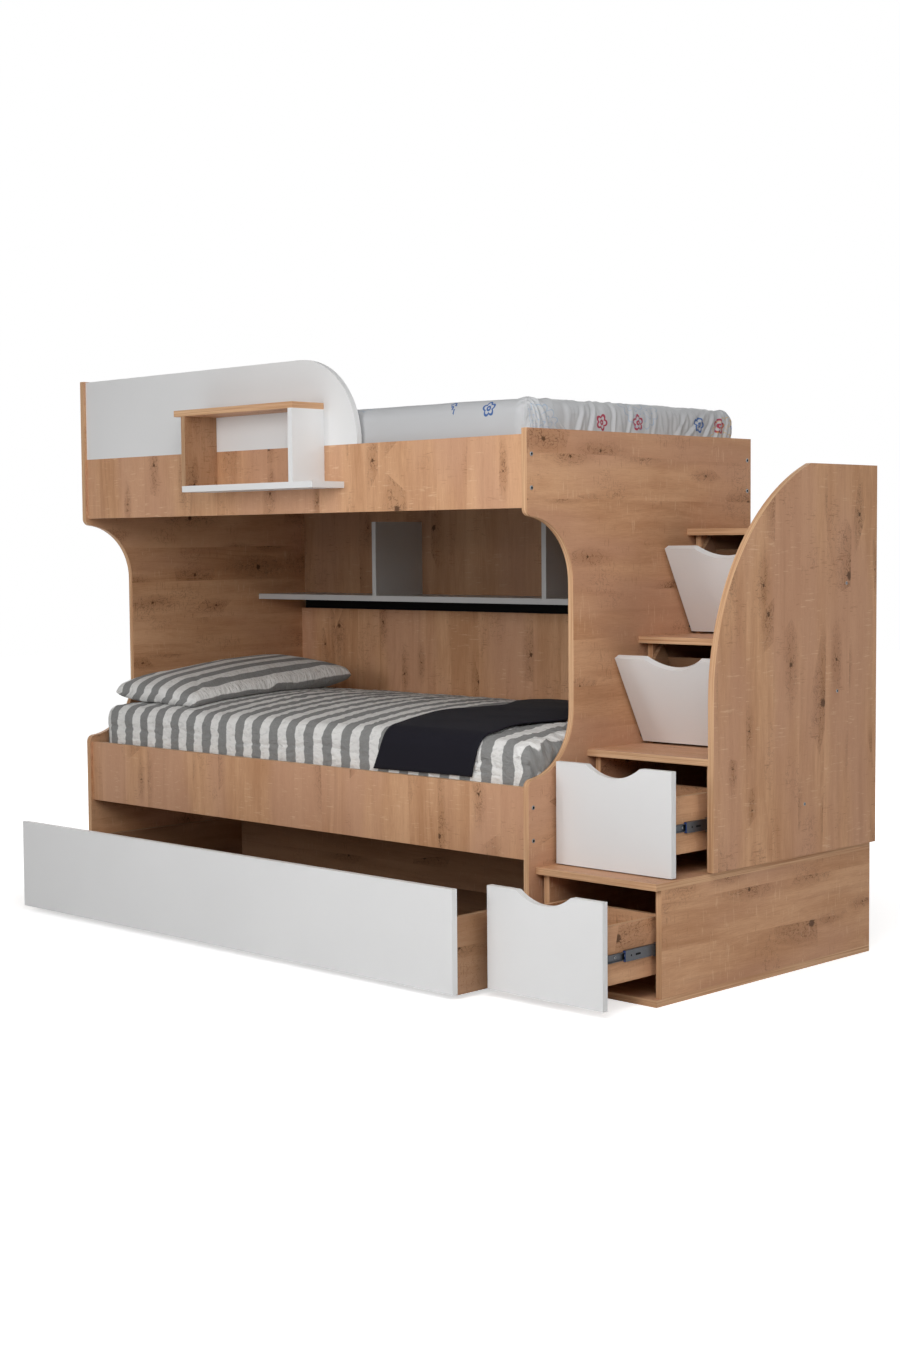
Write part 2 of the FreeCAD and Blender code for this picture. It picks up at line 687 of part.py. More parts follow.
def caster_fork(x, y):
    """Fixed fork bent from sheet, with the axle riveted between its two legs."""
    inner = wheel_width / 2 + fork_gap
    outer = inner + fork_metal
    plate_z = trundle_floor_z - caster_plate
    half = fork_length / 2
    plate = box(x - outer, x + outer, y - half, y + half, plate_z, trundle_floor_z)
    for way in (-1, 1):
        face_x = x + (inner if way > 0 else -outer)
        low, foot = wheel_radius - fork_below, fork_foot / 2
        points = [V(face_x, y - half, plate_z), V(face_x, y + half, plate_z),
                  V(face_x, y + foot, low), V(face_x, y - foot, low),
                  V(face_x, y - half, plate_z)]
        plate = plate.fuse(extruded(polygon_edges(points), V(fork_metal, 0, 0)))
    axle = rod(axle_radius, V(x - inner, y, wheel_radius), V(1, 0, 0), 2 * inner)
    return plate.fuse(axle).removeSplitter()


forks = []
for end, y in (("front", trundle_box_y + wheel_inset_y), ("back", box_back - wheel_inset_y)):
    for hand, x in (("left", side_left + wheel_inset_x), ("right", side_right - wheel_inset_x)):
        parts["trundle_wheel_" + end + "_" + hand] = wheel(x, y)
        forks.append(caster_fork(x, y))
parts["caster_forks"] = group(forks)

# ---- move the origin below the middle of the whole, and write -----------------------

middle = V(-(left_out + stair_clear + board) / 2, -(trundle_y + stair_back) / 2, 0)
os.makedirs("parts", exist_ok=True)
for name, shape in parts.items():
    shape.translate(middle)
    assert shape.isValid(), name
    shape.exportStep("parts/" + name + ".step")
print(len(parts), "nodes, origin shift", middle)
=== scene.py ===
import math

import bpy
import numpy as np
from mathutils import Matrix, Vector, noise


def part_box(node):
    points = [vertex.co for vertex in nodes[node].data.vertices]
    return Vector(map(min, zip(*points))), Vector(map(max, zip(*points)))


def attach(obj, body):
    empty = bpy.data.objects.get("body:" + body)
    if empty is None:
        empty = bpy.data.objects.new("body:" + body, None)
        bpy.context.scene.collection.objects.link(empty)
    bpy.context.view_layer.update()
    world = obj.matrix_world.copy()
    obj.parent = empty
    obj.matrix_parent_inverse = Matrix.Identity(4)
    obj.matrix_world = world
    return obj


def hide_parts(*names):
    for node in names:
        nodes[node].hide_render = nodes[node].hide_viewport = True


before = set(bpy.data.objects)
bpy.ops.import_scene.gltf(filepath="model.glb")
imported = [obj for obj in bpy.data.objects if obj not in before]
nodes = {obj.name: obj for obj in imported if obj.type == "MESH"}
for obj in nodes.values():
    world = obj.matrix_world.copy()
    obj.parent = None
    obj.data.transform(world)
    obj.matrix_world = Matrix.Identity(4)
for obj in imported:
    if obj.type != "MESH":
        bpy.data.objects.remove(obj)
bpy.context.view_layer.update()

print("frame loaded", len(nodes))

# The bed's own corner: outer face of the right end panel, front edge of the panels, floor.
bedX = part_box("right_end_panel")[1].x
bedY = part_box("right_end_panel")[0].y


def at(x, y, z):
    return Vector((bedX + x / 1000, bedY + y / 1000, z / 1000))


cameraSet = {
    "place": (3499.1, -3842.7, 1151.7),      # mm from the bed's corner
    "azimuth": 44.537,
    "elevation": 3.708,
    "roll": -0.4615,
    "focal": 2014.0,                         # pixels
    "height": 1350,
}


def makeCamera(spec):
    azimuth, elevation, roll = (math.radians(spec[k]) for k in ("azimuth", "elevation", "roll"))
    back = Vector((math.sin(azimuth) * math.cos(elevation),
                   -math.cos(azimuth) * math.cos(elevation), math.sin(elevation)))
    level = Vector((math.cos(azimuth), math.sin(azimuth), 0))
    upright = back.cross(level)
    right = math.cos(roll) * level + math.sin(roll) * upright
    up = -math.sin(roll) * level + math.cos(roll) * upright
    data = bpy.data.cameras.new("camera")
    data.sensor_width = 36
    data.lens = 36 * spec["focal"] / spec["height"]
    data.clip_end = 60
    camera = bpy.data.objects.new("camera", data)
    bpy.context.scene.collection.objects.link(camera)
    turn = Matrix((right, up, back)).transposed().to_4x4()
    camera.matrix_world = Matrix.Translation(at(*spec["place"])) @ turn
    bpy.context.scene.camera = camera


makeCamera(cameraSet)


# A shader value that can be added, multiplied and so on.
class Socket:
    def __init__(self, graph, socket):
        self.graph = graph
        self.socket = socket

    def combine(self, operation, *others):
        return self.graph.node("ShaderNodeMath", [self, *others], operation=operation)

    def __add__(self, other):
        return self.combine("ADD", other)

    __radd__ = __add__

    def __sub__(self, other):
        return self.combine("SUBTRACT", other)

    def __rsub__(self, other):
        return self.graph.node("ShaderNodeMath", [other, self], operation="SUBTRACT")

    def __mul__(self, other):
        return self.combine("MULTIPLY", other)

    __rmul__ = __mul__

    def __truediv__(self, other):
        return self.combine("DIVIDE", other)

    def __pow__(self, other):
        return self.combine("POWER", other)

    def floor(self):
        return self.combine("FLOOR")

    def abs(self):
        return self.combine("ABSOLUTE")

    def sine(self):
        return self.combine("SINE")

    def least(self, other):
        return self.combine("MINIMUM", other)

    def most(self, other):
        return self.combine("MAXIMUM", other)

    def above(self, limit):
        return self.combine("GREATER_THAN", limit)

    def step(self, low, high, a=0.0, b=1.0):
        ends = {"Value": self, "From Min": low, "From Max": high, "To Min": a, "To Max": b}
        return self.graph.node("ShaderNodeMapRange", ends, interpolation_type="SMOOTHSTEP")


class Graph:
    def __init__(self, owner):
        owner.use_nodes = True
        self.owner = owner
        self.tree = owner.node_tree
        self.tree.nodes.clear()

    def node(self, kind, inputs=(), output=0, **settings):
        made = self.tree.nodes.new(kind)
        for name, value in settings.items():
            setattr(made, name, value)
        pairs = inputs.items() if isinstance(inputs, dict) else enumerate(inputs)
        for key, value in pairs:
            if isinstance(value, Socket):
                self.tree.links.new(value.socket, made.inputs[key])
            else:
                made.inputs[key].default_value = value
        return Socket(self, made.outputs[output]) if made.outputs else None

    def place(self):
        return self.node("ShaderNodeTexCoord", output="Object")

    def normal(self):
        return self.node("ShaderNodeTexCoord", output="Normal")

    def flat(self):
        return self.node("ShaderNodeTexCoord", output="UV")

    def split(self, vector):
        made = self.node("ShaderNodeSeparateXYZ", [vector])
        return [Socket(self, output) for output in made.socket.node.outputs]

    def join(self, x, y, z=0.0):
        return self.node("ShaderNodeCombineXYZ", [x, y, z])

    def noise(self, vector, scale=1.0, detail=2.0, rough=0.5, warp=0.0):
        return self.node("ShaderNodeTexNoise", {"Vector": vector, "Scale": scale, "Detail": detail,
                                                "Roughness": rough, "Distortion": warp})

    def mix(self, share, low, high):
        return self.node("ShaderNodeMix", {0: share, 6: low, 7: high}, output=2, data_type="RGBA")

    def bump(self, height, distance, strength=1.0):
        return self.node("ShaderNodeBump", {"Height": height, "Distance": distance,
                                            "Strength": strength})

    def finish(self, color, rough, normal=None, **constants):
        inputs = {"Base Color": color, "Roughness": rough}
        if normal is not None:
            inputs["Normal"] = normal
        shader = self.node("ShaderNodeBsdfPrincipled", inputs)
        for key, value in constants.items():
            shader.socket.node.inputs[key.replace("_", " ")].default_value = value
        self.node("ShaderNodeOutputMaterial", {"Surface": shader})
        return self.owner


def newMaterial(name):
    return Graph(bpy.data.materials.new(name))


def rgb(red, green, blue):
    return (red, green, blue, 1.0)


def tinted(color, share):
    return rgb(*(part * share for part in color[:3]))


oakSet = {
    "light": rgb(0.665, 0.388, 0.222),
    "middle": rgb(0.470, 0.240, 0.120),
    "dark": rgb(0.245, 0.102, 0.038),
    "knot": rgb(0.088, 0.036, 0.014),
    "pink": rgb(0.53, 0.295, 0.190),
    "flare": rgb(0.80, 0.56, 0.37),
    "band": rgb(0.70, 0.455, 0.27),
    "plank": 0.118,        # width of one printed plank, metres
    "knots": 6.2,          # knot cells per metre
    "stretch": 0.60,       # cells are longer along the grain
    "share": 0.40,         # cells left without a knot
}


# Printed knotty oak: grain along one axis ("level" is whichever way an upright board runs), lighter
# banding on the thin sides, and painted shade that darkens boards deep inside the bed.
def oak(name, along, thick, seed=0.0, paintedShade=1.0):
    g = newMaterial(name)
    axes = dict(zip("xyz", g.split(g.place())))
    normals = dict(zip("xyz", g.split(g.normal())))
    if along == "level":
        facesX = normals["x"].abs().above(normals["y"].abs())
        s = axes["y"] * facesX + axes["x"] * (1 - facesX)
        t, depth = axes["z"], axes["z"]
        face = normals["z"].abs().step(0.5, 0.6, 1.0, 0.0)
    else:
        s, t = axes[along], axes[next(a for a in "xyz" if a not in (along, thick))]
        depth = axes[thick]
        face = normals[thick].abs().above(0.6)
    sway = g.noise(g.join(s * 0.8, t * 2.0, seed), 1.0, 1.0) - 0.5
    across = t / oakSet["plank"] + sway * 0.5 + seed * 1.7
    plank = across.floor()
    lot = g.node("ShaderNodeTexWhiteNoise", {"W": plank + seed * 3.7}, noise_dimensions="1D")
    u, v = s + lot * 5.3 + seed * 2.1, t + lot * 0.6
    hue = g.noise(g.join(s * 1.4, t * 4.5, seed + 15), 1.0, 2.0, 0.5)
    cellSpec = {"Vector": g.join(u * oakSet["stretch"], v, seed), "Scale": oakSet["knots"],
                "Randomness": 1.0}
    heart = g.split(g.node("ShaderNodeTexVoronoi", cellSpec, output="Position"))
    lots = g.split(g.node("ShaderNodeTexVoronoi", cellSpec, output="Color"))
    du, dv = u - heart[0] / oakSet["stretch"], v - heart[1]
    far = (du * du + dv * dv) ** 0.5
    shown = lots[0].above(oakSet["share"])
    size = lots[1] * lots[1] * lots[1] * 0.0075 + 0.0017
    ragged = g.noise(g.join(u * 130, v * 190, seed), 1.0, 2.0, 0.6) - 0.5
    core = (far / size + ragged * 1.6).step(0.8, 1.7, 1.0, 0.0) * shown
    turned = g.node("ShaderNodeMath", [dv, du], operation="ARCTAN2") + ragged * 1.0 + lots[2] * 6
    ray = (turned * (1.5 + lots[2])).sine().abs() * far
    star = ray.step(0.0005, 0.0022, 1.0, 0.0) * (far / size).step(1.0, 6.0, 1.0, 0.0) * shown
    smudge = ((du * du * 0.07 + dv * dv) ** 0.5 / (size * 3.2 + 0.006)).step(0.2, 2.2, 1.0, 0.0)
    smudge = smudge * shown
    near = (du * du * 0.10 + dv * dv) ** 0.5
    bend = dv / (near + 0.006) * near.step(0.0, 0.050, 0.010, 0.0) * shown
    flow = g.noise(g.join(u * 1.6, v * 5.0, seed + lot * 9), 1.0, 2.0, 0.5)
    w = v - bend + (flow - 0.5) * 0.05
    flame = (g.noise(g.join(u * 0.6, w * 5.5, seed + lot * 20), 1.0, 1.0) * 110).sine() * 0.5 + 0.5
    flame = (flame.step(0.55, 1.0)
             * g.noise(g.join(u * 1.8, v * 4.0, seed + 4), 1.0, 1.0).step(0.5, 0.68))
    streak = g.noise(g.join(u * 2.6, w * 34, seed), 1.0, 3.0, 0.6)
    fibre = g.noise(g.join(u * 24, w * 420, seed), 1.0, 3.0, 0.62)
    broad = g.noise(g.join(u * 2.4, v * 8.0, seed + 5.0), 1.0, 3.0, 0.55, 0.4)
    vein = g.noise(g.join(u * 1.3, w * 30.0, seed + 8.0), 1.0, 2.0, 0.5).step(0.60, 0.74)
    pores = g.noise(g.join(u * 60, w * 800, seed), 1.0, 1.0, 0.6).step(0.60, 0.72)
    patch = g.noise(g.join(u * 5.0, v * 7.0, seed + 12), 1.0, 2.0, 0.5)
    ticks = g.noise(g.join(u * 260, v * 26, seed + 2.0), 1.0, 2.0, 0.6).step(0.60, 0.70)
    ticks = ticks * patch.step(0.52, 0.60)
    gloss = g.noise(g.join(u * 220, v * 20, seed + 7.0), 1.0, 2.0, 0.6).step(0.59, 0.70)
    gloss = gloss * patch.step(0.52, 0.42)
    # thin broken cracks in and around the knots and in the rough patches
    crack = (g.noise(g.join(u * 34, v * 58, seed + 3.0), 1.0, 3.0, 0.6, 0.8) - 0.5).abs()
    crack = crack.step(0.004, 0.026, 1.0, 0.0) * (smudge + patch.step(0.57, 0.66) * 0.45).least(1.0)
    depthOf = ((streak - 0.5) * 0.80 + (fibre - 0.5) * 0.75
               + (broad - 0.5) * 1.2 + (lot - 0.5) * 0.26)
    color = g.mix((depthOf + flame * 0.20).step(-0.46, 0.50), oakSet["light"], oakSet["middle"])
    color = g.mix(hue.step(0.42, 0.64, 0.0, 0.60), color, oakSet["pink"])
    color = g.mix(gloss * 0.38, color, oakSet["flare"])
    dirt = pores * 0.18 + ticks * 0.44 + smudge * 0.34 + vein * 0.12
    color = g.mix(dirt.least(0.85), color, oakSet["dark"])
    color = g.mix((core * 0.92 + star * 0.70 + crack * 0.62).least(0.94), color, oakSet["knot"])
    bandStripe = g.noise(g.join(depth * 420, s * 3, t * 3), 1.0, 2.0, 0.6)
    band = g.mix(bandStripe.step(0.30, 0.70), oakSet["middle"], oakSet["band"])
    color = g.mix(face, band, color)
    # painted shade: boards in the bed's shaded inside are mixed towards near-black by 1 -
    # paintedShade
    if paintedShade != 1.0:
        color = g.mix(1.0 - paintedShade, color, rgb(0.02, 0.01, 0.005))
    rough = 0.48 + pores * 0.14 + streak * 0.08
    height = (streak * 0.3 + fibre * 0.3
              - pores * 0.6 - core * 0.6 - crack * 0.5 - ticks * 0.3) * face
    return g.finish(color, rough, g.bump(height, 0.0005, 0.5), Specular_IOR_Level=0.20)


# Two-millimetre banding where it turns onto the face of a board.
def bandEdge(name):
    g = newMaterial(name)
    speck = g.noise(g.place(), 240.0, 2.0, 0.6)
    color = g.mix(speck, rgb(0.74, 0.50, 0.315), rgb(0.61, 0.38, 0.22))
    return g.finish(color, 0.42 + speck * 0.1, g.bump(speck, 0.0001, 0.3), Specular_IOR_Level=0.25)


# Satin white board with a fine orange-peel skin.
def melamine(name, color=rgb(0.76, 0.76, 0.76), rough=0.40):
    g = newMaterial(name)
    place = g.place()
    peel = g.noise(place, 900.0, 2.0, 0.5)
    cloud = g.noise(place, 3.0, 2.0, 0.5)
    smear = g.noise(place, 14.0, 3.0, 0.6)
    tint = g.mix(cloud.step(0.3, 0.7), tinted(color, 0.975), color)
    return g.finish(tint, rough + smear * 0.08, g.bump(peel, 0.00012, 0.35), Specular_IOR_Level=0.3)


def hardboard(name, color):
    g = newMaterial(name)
    fibre = g.noise(g.place(), 260.0, 3.0, 0.7)
    tint = g.mix(fibre, tinted(color, 0.7), tinted(color, 1.25))
    return g.finish(tint, 0.70 + fibre * 0.25, g.bump(fibre, 0.0003, 0.5), Specular_IOR_Level=0.12)


# Planed pine: soft growth lines along the batten.
def pine(name, along):
    g = newMaterial(name)
    axes = dict(zip("xyz", g.split(g.place())))
    s = axes[along]
    rest = [axes[a] for a in "xyz" if a != along]
    wave = g.noise(g.join(s * 1.2, rest[0] * 10, rest[1] * 10), 1.0, 2.0)
    lines = ((rest[0] * 1.3 + rest[1] + wave * 0.05) * 900).sine() * 0.5 + 0.5
    fine = g.noise(g.join(s * 20, rest[0] * 500, rest[1] * 500), 1.0, 2.0)
    color = g.mix(lines * 0.6 + fine * 0.4, rgb(0.70, 0.50, 0.30), rgb(0.52, 0.33, 0.17))
    return g.finish(color, 0.5 + fine * 0.2, g.bump(lines + fine, 0.0003, 0.3))


# Zinc-plated pressed steel with rolling marks along the slide and a faint spangle.
def zinc(name, color, rough=0.34):
    g = newMaterial(name)
    place = g.place()
    x, y, z = g.split(place)
    rolled = g.noise(g.join(x * 700, y * 12, z * 700), 1.0, 2.0, 0.6)
    spangle = g.noise(place, 140.0, 2.0, 0.5)
    tint = g.mix(spangle, tinted(color, 0.75), color)
    return g.finish(tint, rough + rolled * 0.18, g.bump(rolled, 0.0001, 0.3), Metallic=1.0)


def plastic(name, color, rough=0.38):
    g = newMaterial(name)
    place = g.place()
    grain = g.noise(place, 1500.0, 2.0, 0.5)
    wear = g.noise(place, 60.0, 3.0, 0.6)
    tint = g.mix(wear * 0.5, color, tinted(color, 0.72))
    return g.finish(tint, rough + wear * 0.15, g.bump(grain, 0.00008, 0.4))


stripeSet = {
    "width": 0.0396,
    "white": rgb(0.82, 0.81, 0.79),
    "grey": rgb(0.245, 0.245, 0.240),
}


# Crinkled cotton: woven grey and white stripes with puckers across them, their hollows darkened
# with painted shade.
def stripedCotton(name, shift=0.0, wave=0.020):
    g = newMaterial(name)
    u, v, _ = g.split(g.flat())
    wobble = g.noise(g.join(u * 16, v * 30), 1.0, 2.0, 0.6) - 0.5
    across = (u + wobble * wave + shift) / stripeSet["width"]
    turn = (across * math.pi).sine()
    threads = (v * 2600).sine() * (u * 2600).sine()
    slub = g.noise(g.join(u * 90, v * 900), 1.0, 2.0, 0.6)
    dark = turn.step(-0.12, 0.12) * (0.84 + slub * 0.26)
    color = g.mix(dark.least(1.0), stripeSet["white"], stripeSet["grey"])
    puckerWithShade = g.noise(g.join(u * 42, v * 85), 1.0, 3.0, 0.62, 0.5)
    crease = g.noise(g.join(u * 9, v * 18), 1.0, 3.0, 0.6, 0.6)
    # painted shade: darker grey in the low parts of the puckers
    color = g.mix(puckerWithShade.step(0.34, 0.5, 0.16, 0.0), color, rgb(0.13, 0.13, 0.13))
    height = puckerWithShade * 1.1 + crease * 0.9 + threads * 0.02
    return g.finish(color, 0.92 + slub * 0.05, g.bump(height, 0.0075, 0.9),
                    Sheen_Weight=0.10, Sheen_Roughness=0.5, Specular_IOR_Level=0.2)


# Plain white cotton of the cover's inner side.
def plainCotton(name):
    g = newMaterial(name)
    u, v, _ = g.split(g.flat())
    weave = g.noise(g.join(u * 900, v * 900), 1.0, 2.0, 0.6)
    crease = g.noise(g.join(u * 30, v * 22), 1.0, 3.0, 0.6, 0.6)
    color = g.mix(weave, rgb(0.86, 0.85, 0.84), rgb(0.74, 0.735, 0.73))
    return g.finish(color, 0.90 + weave * 0.05, g.bump(crease, 0.006, 0.8), Specular_IOR_Level=0.2)


# Smooth near-black jersey.
def darkKnit(name):
    g = newMaterial(name)
    u, v, _ = g.split(g.flat())
    ribs = (u * 4200).sine() * 0.5 + 0.5
    soft = g.noise(g.join(u * 6, v * 9), 1.0, 3.0, 0.55)
    lint = g.noise(g.join(u * 700, v * 700), 1.0, 2.0, 0.7)
    color = g.mix(lint * 0.5 + soft * 0.3, rgb(0.0085, 0.0080, 0.0120), rgb(0.0175, 0.0165, 0.0230))
    return g.finish(color, 0.86 + lint * 0.1, g.bump(ribs * 0.1 + soft * 0.9, 0.003, 0.4),
                    Sheen_Weight=0.03, Sheen_Roughness=0.4, Specular_IOR_Level=0.10)


sheetSet = {
    "cloth": rgb(0.50, 0.505, 0.515),
    "red": rgb(0.34, 0.005, 0.040),
    "blue": rgb(0.014, 0.085, 0.29),
    "yellow": rgb(0.62, 0.37, 0.06),
    "pale": rgb(0.27, 0.37, 0.50),
    "flowers": 5.6,         # flower cells per metre
    "rounds": 2.8,
}


# Outlined flowers, one in each cell: their line, their heart, and the cell's lots.
def flowerOutline(g, u, v, scale, petals, radius, depth, line, seed):
    place = {"Vector": g.join(u + seed, v + seed * 0.37), "Scale": scale, "Randomness": 0.75}
    cx, cy, _ = g.split(g.node("ShaderNodeTexVoronoi", place, output="Position"))
    lot = g.split(g.node("ShaderNodeTexVoronoi", place, output="Color"))
    dx, dy = (u + seed) - cx, (v + seed * 0.37) - cy
    far = (dx * dx + dy * dy) ** 0.5
    angle = g.node("ShaderNodeMath", [dy, dx], operation="ARCTAN2")
    petal = ((angle + lot[2] * 6.0) * (petals / 2)).sine().abs()
    rim = radius * (1 - depth) + petal * (radius * depth)
    outline = (far - rim).abs().step(line * 0.6, line, 1.0, 0.0)
    heart = (far - radius * 0.26).abs().step(line * 0.5, line * 0.8, 1.0, 0.0)
    return outline, heart, lot


# Satin cotton with small outlined flowers and large pale rounds of petals.
def printedSheet(name):
    g = newMaterial(name)
    u, v, _ = g.split(g.flat())
    small, heart, lot = flowerOutline(g, u, v, sheetSet["flowers"], 5, 0.020, 0.38, 0.0042, 3.1)
    hue = g.mix(lot[1].above(0.5), sheetSet["red"], sheetSet["blue"])
    color = g.mix((small + heart).least(1.0) * lot[0].above(0.40) * 0.92, sheetSet["cloth"], hue)
    rings = [flowerOutline(g, u, v, sheetSet["rounds"], petals, radius, depth, 0.0022, 7.7)
             for petals, radius, depth in ((18, 0.078, 0.14), (18, 0.058, 0.30), (12, 0.037, 0.45))]
    lot = rings[0][2]
    rounds = (rings[0][0] + rings[1][0] + rings[2][0] + rings[0][1]).least(1.0) * lot[0].above(0.45)
    wash = g.mix(lot[1].above(0.52), sheetSet["pale"], sheetSet["yellow"])
    color = g.mix(rounds * 0.62, color, wash)
    weave = (u * 5200).sine() * (v * 5200).sine()
    ripple = g.noise(g.join(u * 9, v * 9), 1.0, 3.0, 0.55, 0.5)
    return g.finish(color, 0.55 + ripple * 0.12, g.bump(ripple + weave * 0.01, 0.004, 0.35),
                    Sheen_Weight=0.05, Specular_IOR_Level=0.25)


# Plain woven mattress cloth with quilted diamonds.
def ticking(name):
    g = newMaterial(name)
    u, v, _ = g.split(g.flat())
    lines = ((u + v) * 40).sine().abs().least(((u - v) * 40).sine().abs())
    weave = g.noise(g.join(u * 800, v * 800), 1.0, 2.0, 0.6)
    color = g.mix(weave, rgb(0.66, 0.65, 0.62), rgb(0.56, 0.55, 0.52))
    return g.finish(color, 0.9 + weave * 0.05, g.bump(lines.step(0.0, 0.35), 0.004, 0.7))


whiteBoard = melamine("whiteMelamine")
# painted shade: a darker grey copy of the white board, for the shelf and dividers in the lower
# bunk's shade
shadedWhite = melamine("whiteMelamineInside", rgb(0.46, 0.46, 0.46))
# painted shade: the zinc of the slides, caster forks and pivot pins is darkened far below its own
# tone
steel = zinc("zincSteel", rgb(0.105, 0.11, 0.12), 0.40)
brightSteel = zinc("brightZinc", rgb(0.34, 0.345, 0.35), 0.32)
boardGrain = {
    # node: grain axis, thickness axis, share of colour kept under painted shade
    "left_end_panel": ("y", "x", 1.0), "right_end_panel": ("y", "x", 1.0),
    "upper_front_rail": ("z", "y", 1.0), "lower_front_rail": ("z", "y", 1.0),
    "upper_back_panel": ("z", "y", 0.6), "lower_back_panel": ("z", "y", 1.0),
    "ledge_top": ("x", "z", 1.0), "ledge_left_side": ("z", "x", 0.72),
    "base_bottom_board": ("x", "z", 1.0), "base_top_board": ("x", "z", 1.0),
    "second_tread": ("x", "z", 1.0), "third_tread": ("x", "z", 1.0), "top_tread": ("x", "z", 1.0),
    "stair_left_sides": ("y", "x", 1.0), "stair_right_sides": ("y", "x", 1.0),
    "tall_side_panel": ("z", "x", 1.0),
    "trundle_box": ("level", "", 0.6), "trundle_floor": ("x", "z", 0.45),
    "base_drawer_box": ("level", "", 1.0), "second_drawer_box": ("level", "", 1.0),
    "base_drawer_floor": ("y", "z", 1.0), "second_drawer_floor": ("y", "z", 1.0),
    "lower_bin_box": ("level", "", 0.5), "upper_bin_box": ("level", "", 0.5),
    "stair_back_boards": ("z", "y", 0.6),
}
whiteNodes = ("guard_panel", "ledge_bottom", "ledge_right_side", "trundle_front",
              "base_drawer_front", "second_drawer_front", "lower_bin_front", "upper_bin_front")
steelNodes = ("slide_cabinet_members", "base_slide_middle_members", "base_slide_drawer_members",
              "second_slide_middle_members", "second_slide_drawer_members", "caster_forks",
              "bin_pivot_pins")
plainFinish = {
    **{name: whiteBoard for name in whiteNodes},
    **{name: shadedWhite for name in ("back_shelf", "shelf_dividers")},
    **{name: steel for name in steelNodes},
    # painted shade: the strip behind the slot under the shelf is near-black, giving the slot its
    # deep shade
    "slot_backing_strip": hardboard("darkHardboard", rgb(0.004, 0.004, 0.004)),
    "upper_deck_slats": pine("pineAcross", "y"),
    "lower_deck_slats": pine("pineAcrossLow", "y"),
    "deck_cleats": pine("pineAlong", "x"),
    "base_slide_catches": plastic("bluePlastic", rgb(0.02, 0.07, 0.30)),
    "second_slide_catches": plastic("bluePlasticSecond", rgb(0.02, 0.07, 0.30)),
}
for wheelName in (n for n in nodes if n.startswith("trundle_wheel_")):
    title = "wheel" + wheelName[14:].title().replace("_", "")
    plainFinish[wheelName] = plastic(title, rgb(0.09, 0.09, 0.095))


def dress(node, material):
    node.data.materials.clear()
    node.data.materials.append(material)


def soften(node, width=0.0012, slot=-1):
    bevel = node.modifiers.new("edge", "BEVEL")
    bevel.width = width
    bevel.segments = 2
    bevel.material = slot
    bevel.limit_method = "ANGLE"
    bevel.angle_limit = math.radians(50)
    bevel.harden_normals = True


edging = bandEdge("bandEdge")
for order, (name, (along, thick, paintedShade)) in enumerate(boardGrain.items()):
    dress(nodes[name], oak("oak_" + name, along, thick, 0.61 * order + 0.17, paintedShade))
    nodes[name].data.materials.append(edging)
    soften(nodes[name], slot=1)
for name, material in plainFinish.items():
    dress(nodes[name], material)
    if material in (whiteBoard, shadedWhite):
        soften(nodes[name])
print("materials on the boards and fittings")


def meshObject(name, points, faces, uvs=None, smooth=True):
    data = bpy.data.meshes.new(name)
    data.from_pydata([tuple(p) for p in points], [], faces)
    data.update()
    if uvs is not None:
        layer = data.uv_layers.new(name="flat")
        index = np.empty(len(data.loops), int)
        data.loops.foreach_get("vertex_index", index)
        layer.data.foreach_set("uv", np.asarray(uvs, float)[index].ravel())
    data.polygons.foreach_set("use_smooth", [smooth] * len(data.polygons))
    made = bpy.data.objects.new(name, data)
    bpy.context.scene.collection.objects.link(made)
    return made


def gridFaces(rows, columns):
    return [(a, a + columns, a + columns + 1, a + 1)
            for i in range(rows - 1) for a in range(i * columns, (i + 1) * columns - 1)]


# Places along a line: close together within reach of both ends, wider apart between.
def graded(low, high, reach, fine, coarse):
    inner = np.linspace(low + reach, high - reach, round((high - low - 2 * reach) / coarse) + 1)
    count = round(reach / fine)
    return np.concatenate([np.linspace(low, low + reach, count, endpoint=False), inner,
                           np.linspace(high - reach, high, count + 1)[1:]])


# Where a point of a flat cloth lands on a box with rounded corners: plan x, y and drop.
def wrapOver(u, v, spec):
    x0, x1, y0, y1 = spec["plan"]
    corner, edge = spec["corner"], spec["edge"]
    left, right, front, back = spec["wrapped"]
    cx = np.clip(u, x0 + corner if left else -1e9, x1 - corner if right else 1e9)
    cy = np.clip(v, y0 + corner if front else -1e9, y1 - corner if back else 1e9)
    du, dv = u - cx, v - cy
    far = np.hypot(du, dv)
    reach = np.maximum(np.abs(du), np.abs(dv))
    ux, uy = du / np.maximum(far, 1e-9), dv / np.maximum(far, 1e-9)
    level = corner - edge
    arc = np.clip((reach - level) / edge, 0, math.pi / 2)
    plan = np.where(reach < level, reach, level + edge * np.sin(arc))
    drop = np.where(reach < level, 0, edge * (1 - np.cos(arc)))
    drop = drop + np.maximum(reach - level - edge * math.pi / 2, 0)
    return cx + ux * plan, cy + uy * plan, drop, ux, uy, arc


# Smooth noise, about -1 to 1, at one wavelength in millimetres.
def rough(x, y, size, seed, octaves=3):
    out = np.empty(x.shape)
    flat = zip(x.ravel(), y.ravel())
    out.ravel()[:] = [noise.fractal(Vector((a / size, b / size, seed)), 0.5, 2.0, octaves)
                      for a, b in flat]
    return out


# Creases in a flat cloth: each line is start, end, height and half width in millimetres.
def creases(u, v, lines):
    out = np.zeros(u.shape)
    for (ua, va), (ub, vb), height, width in lines:
        length = math.hypot(ub - ua, vb - va)
        du, dv = (ub - ua) / length, (vb - va) / length
        along = ((u - ua) * du + (v - va) * dv) / length
        off = (u - ua) * dv - (v - va) * du
        fade = np.clip(np.minimum(along + 0.15, 1.15 - along) / 0.3, 0, 1)
        ridge = np.exp(-(off / width) ** 2) - 0.6 * np.exp(-((off - 1.7 * width) / width) ** 2)
        out += height * ridge * fade * fade * (3 - 2 * fade)
    return out


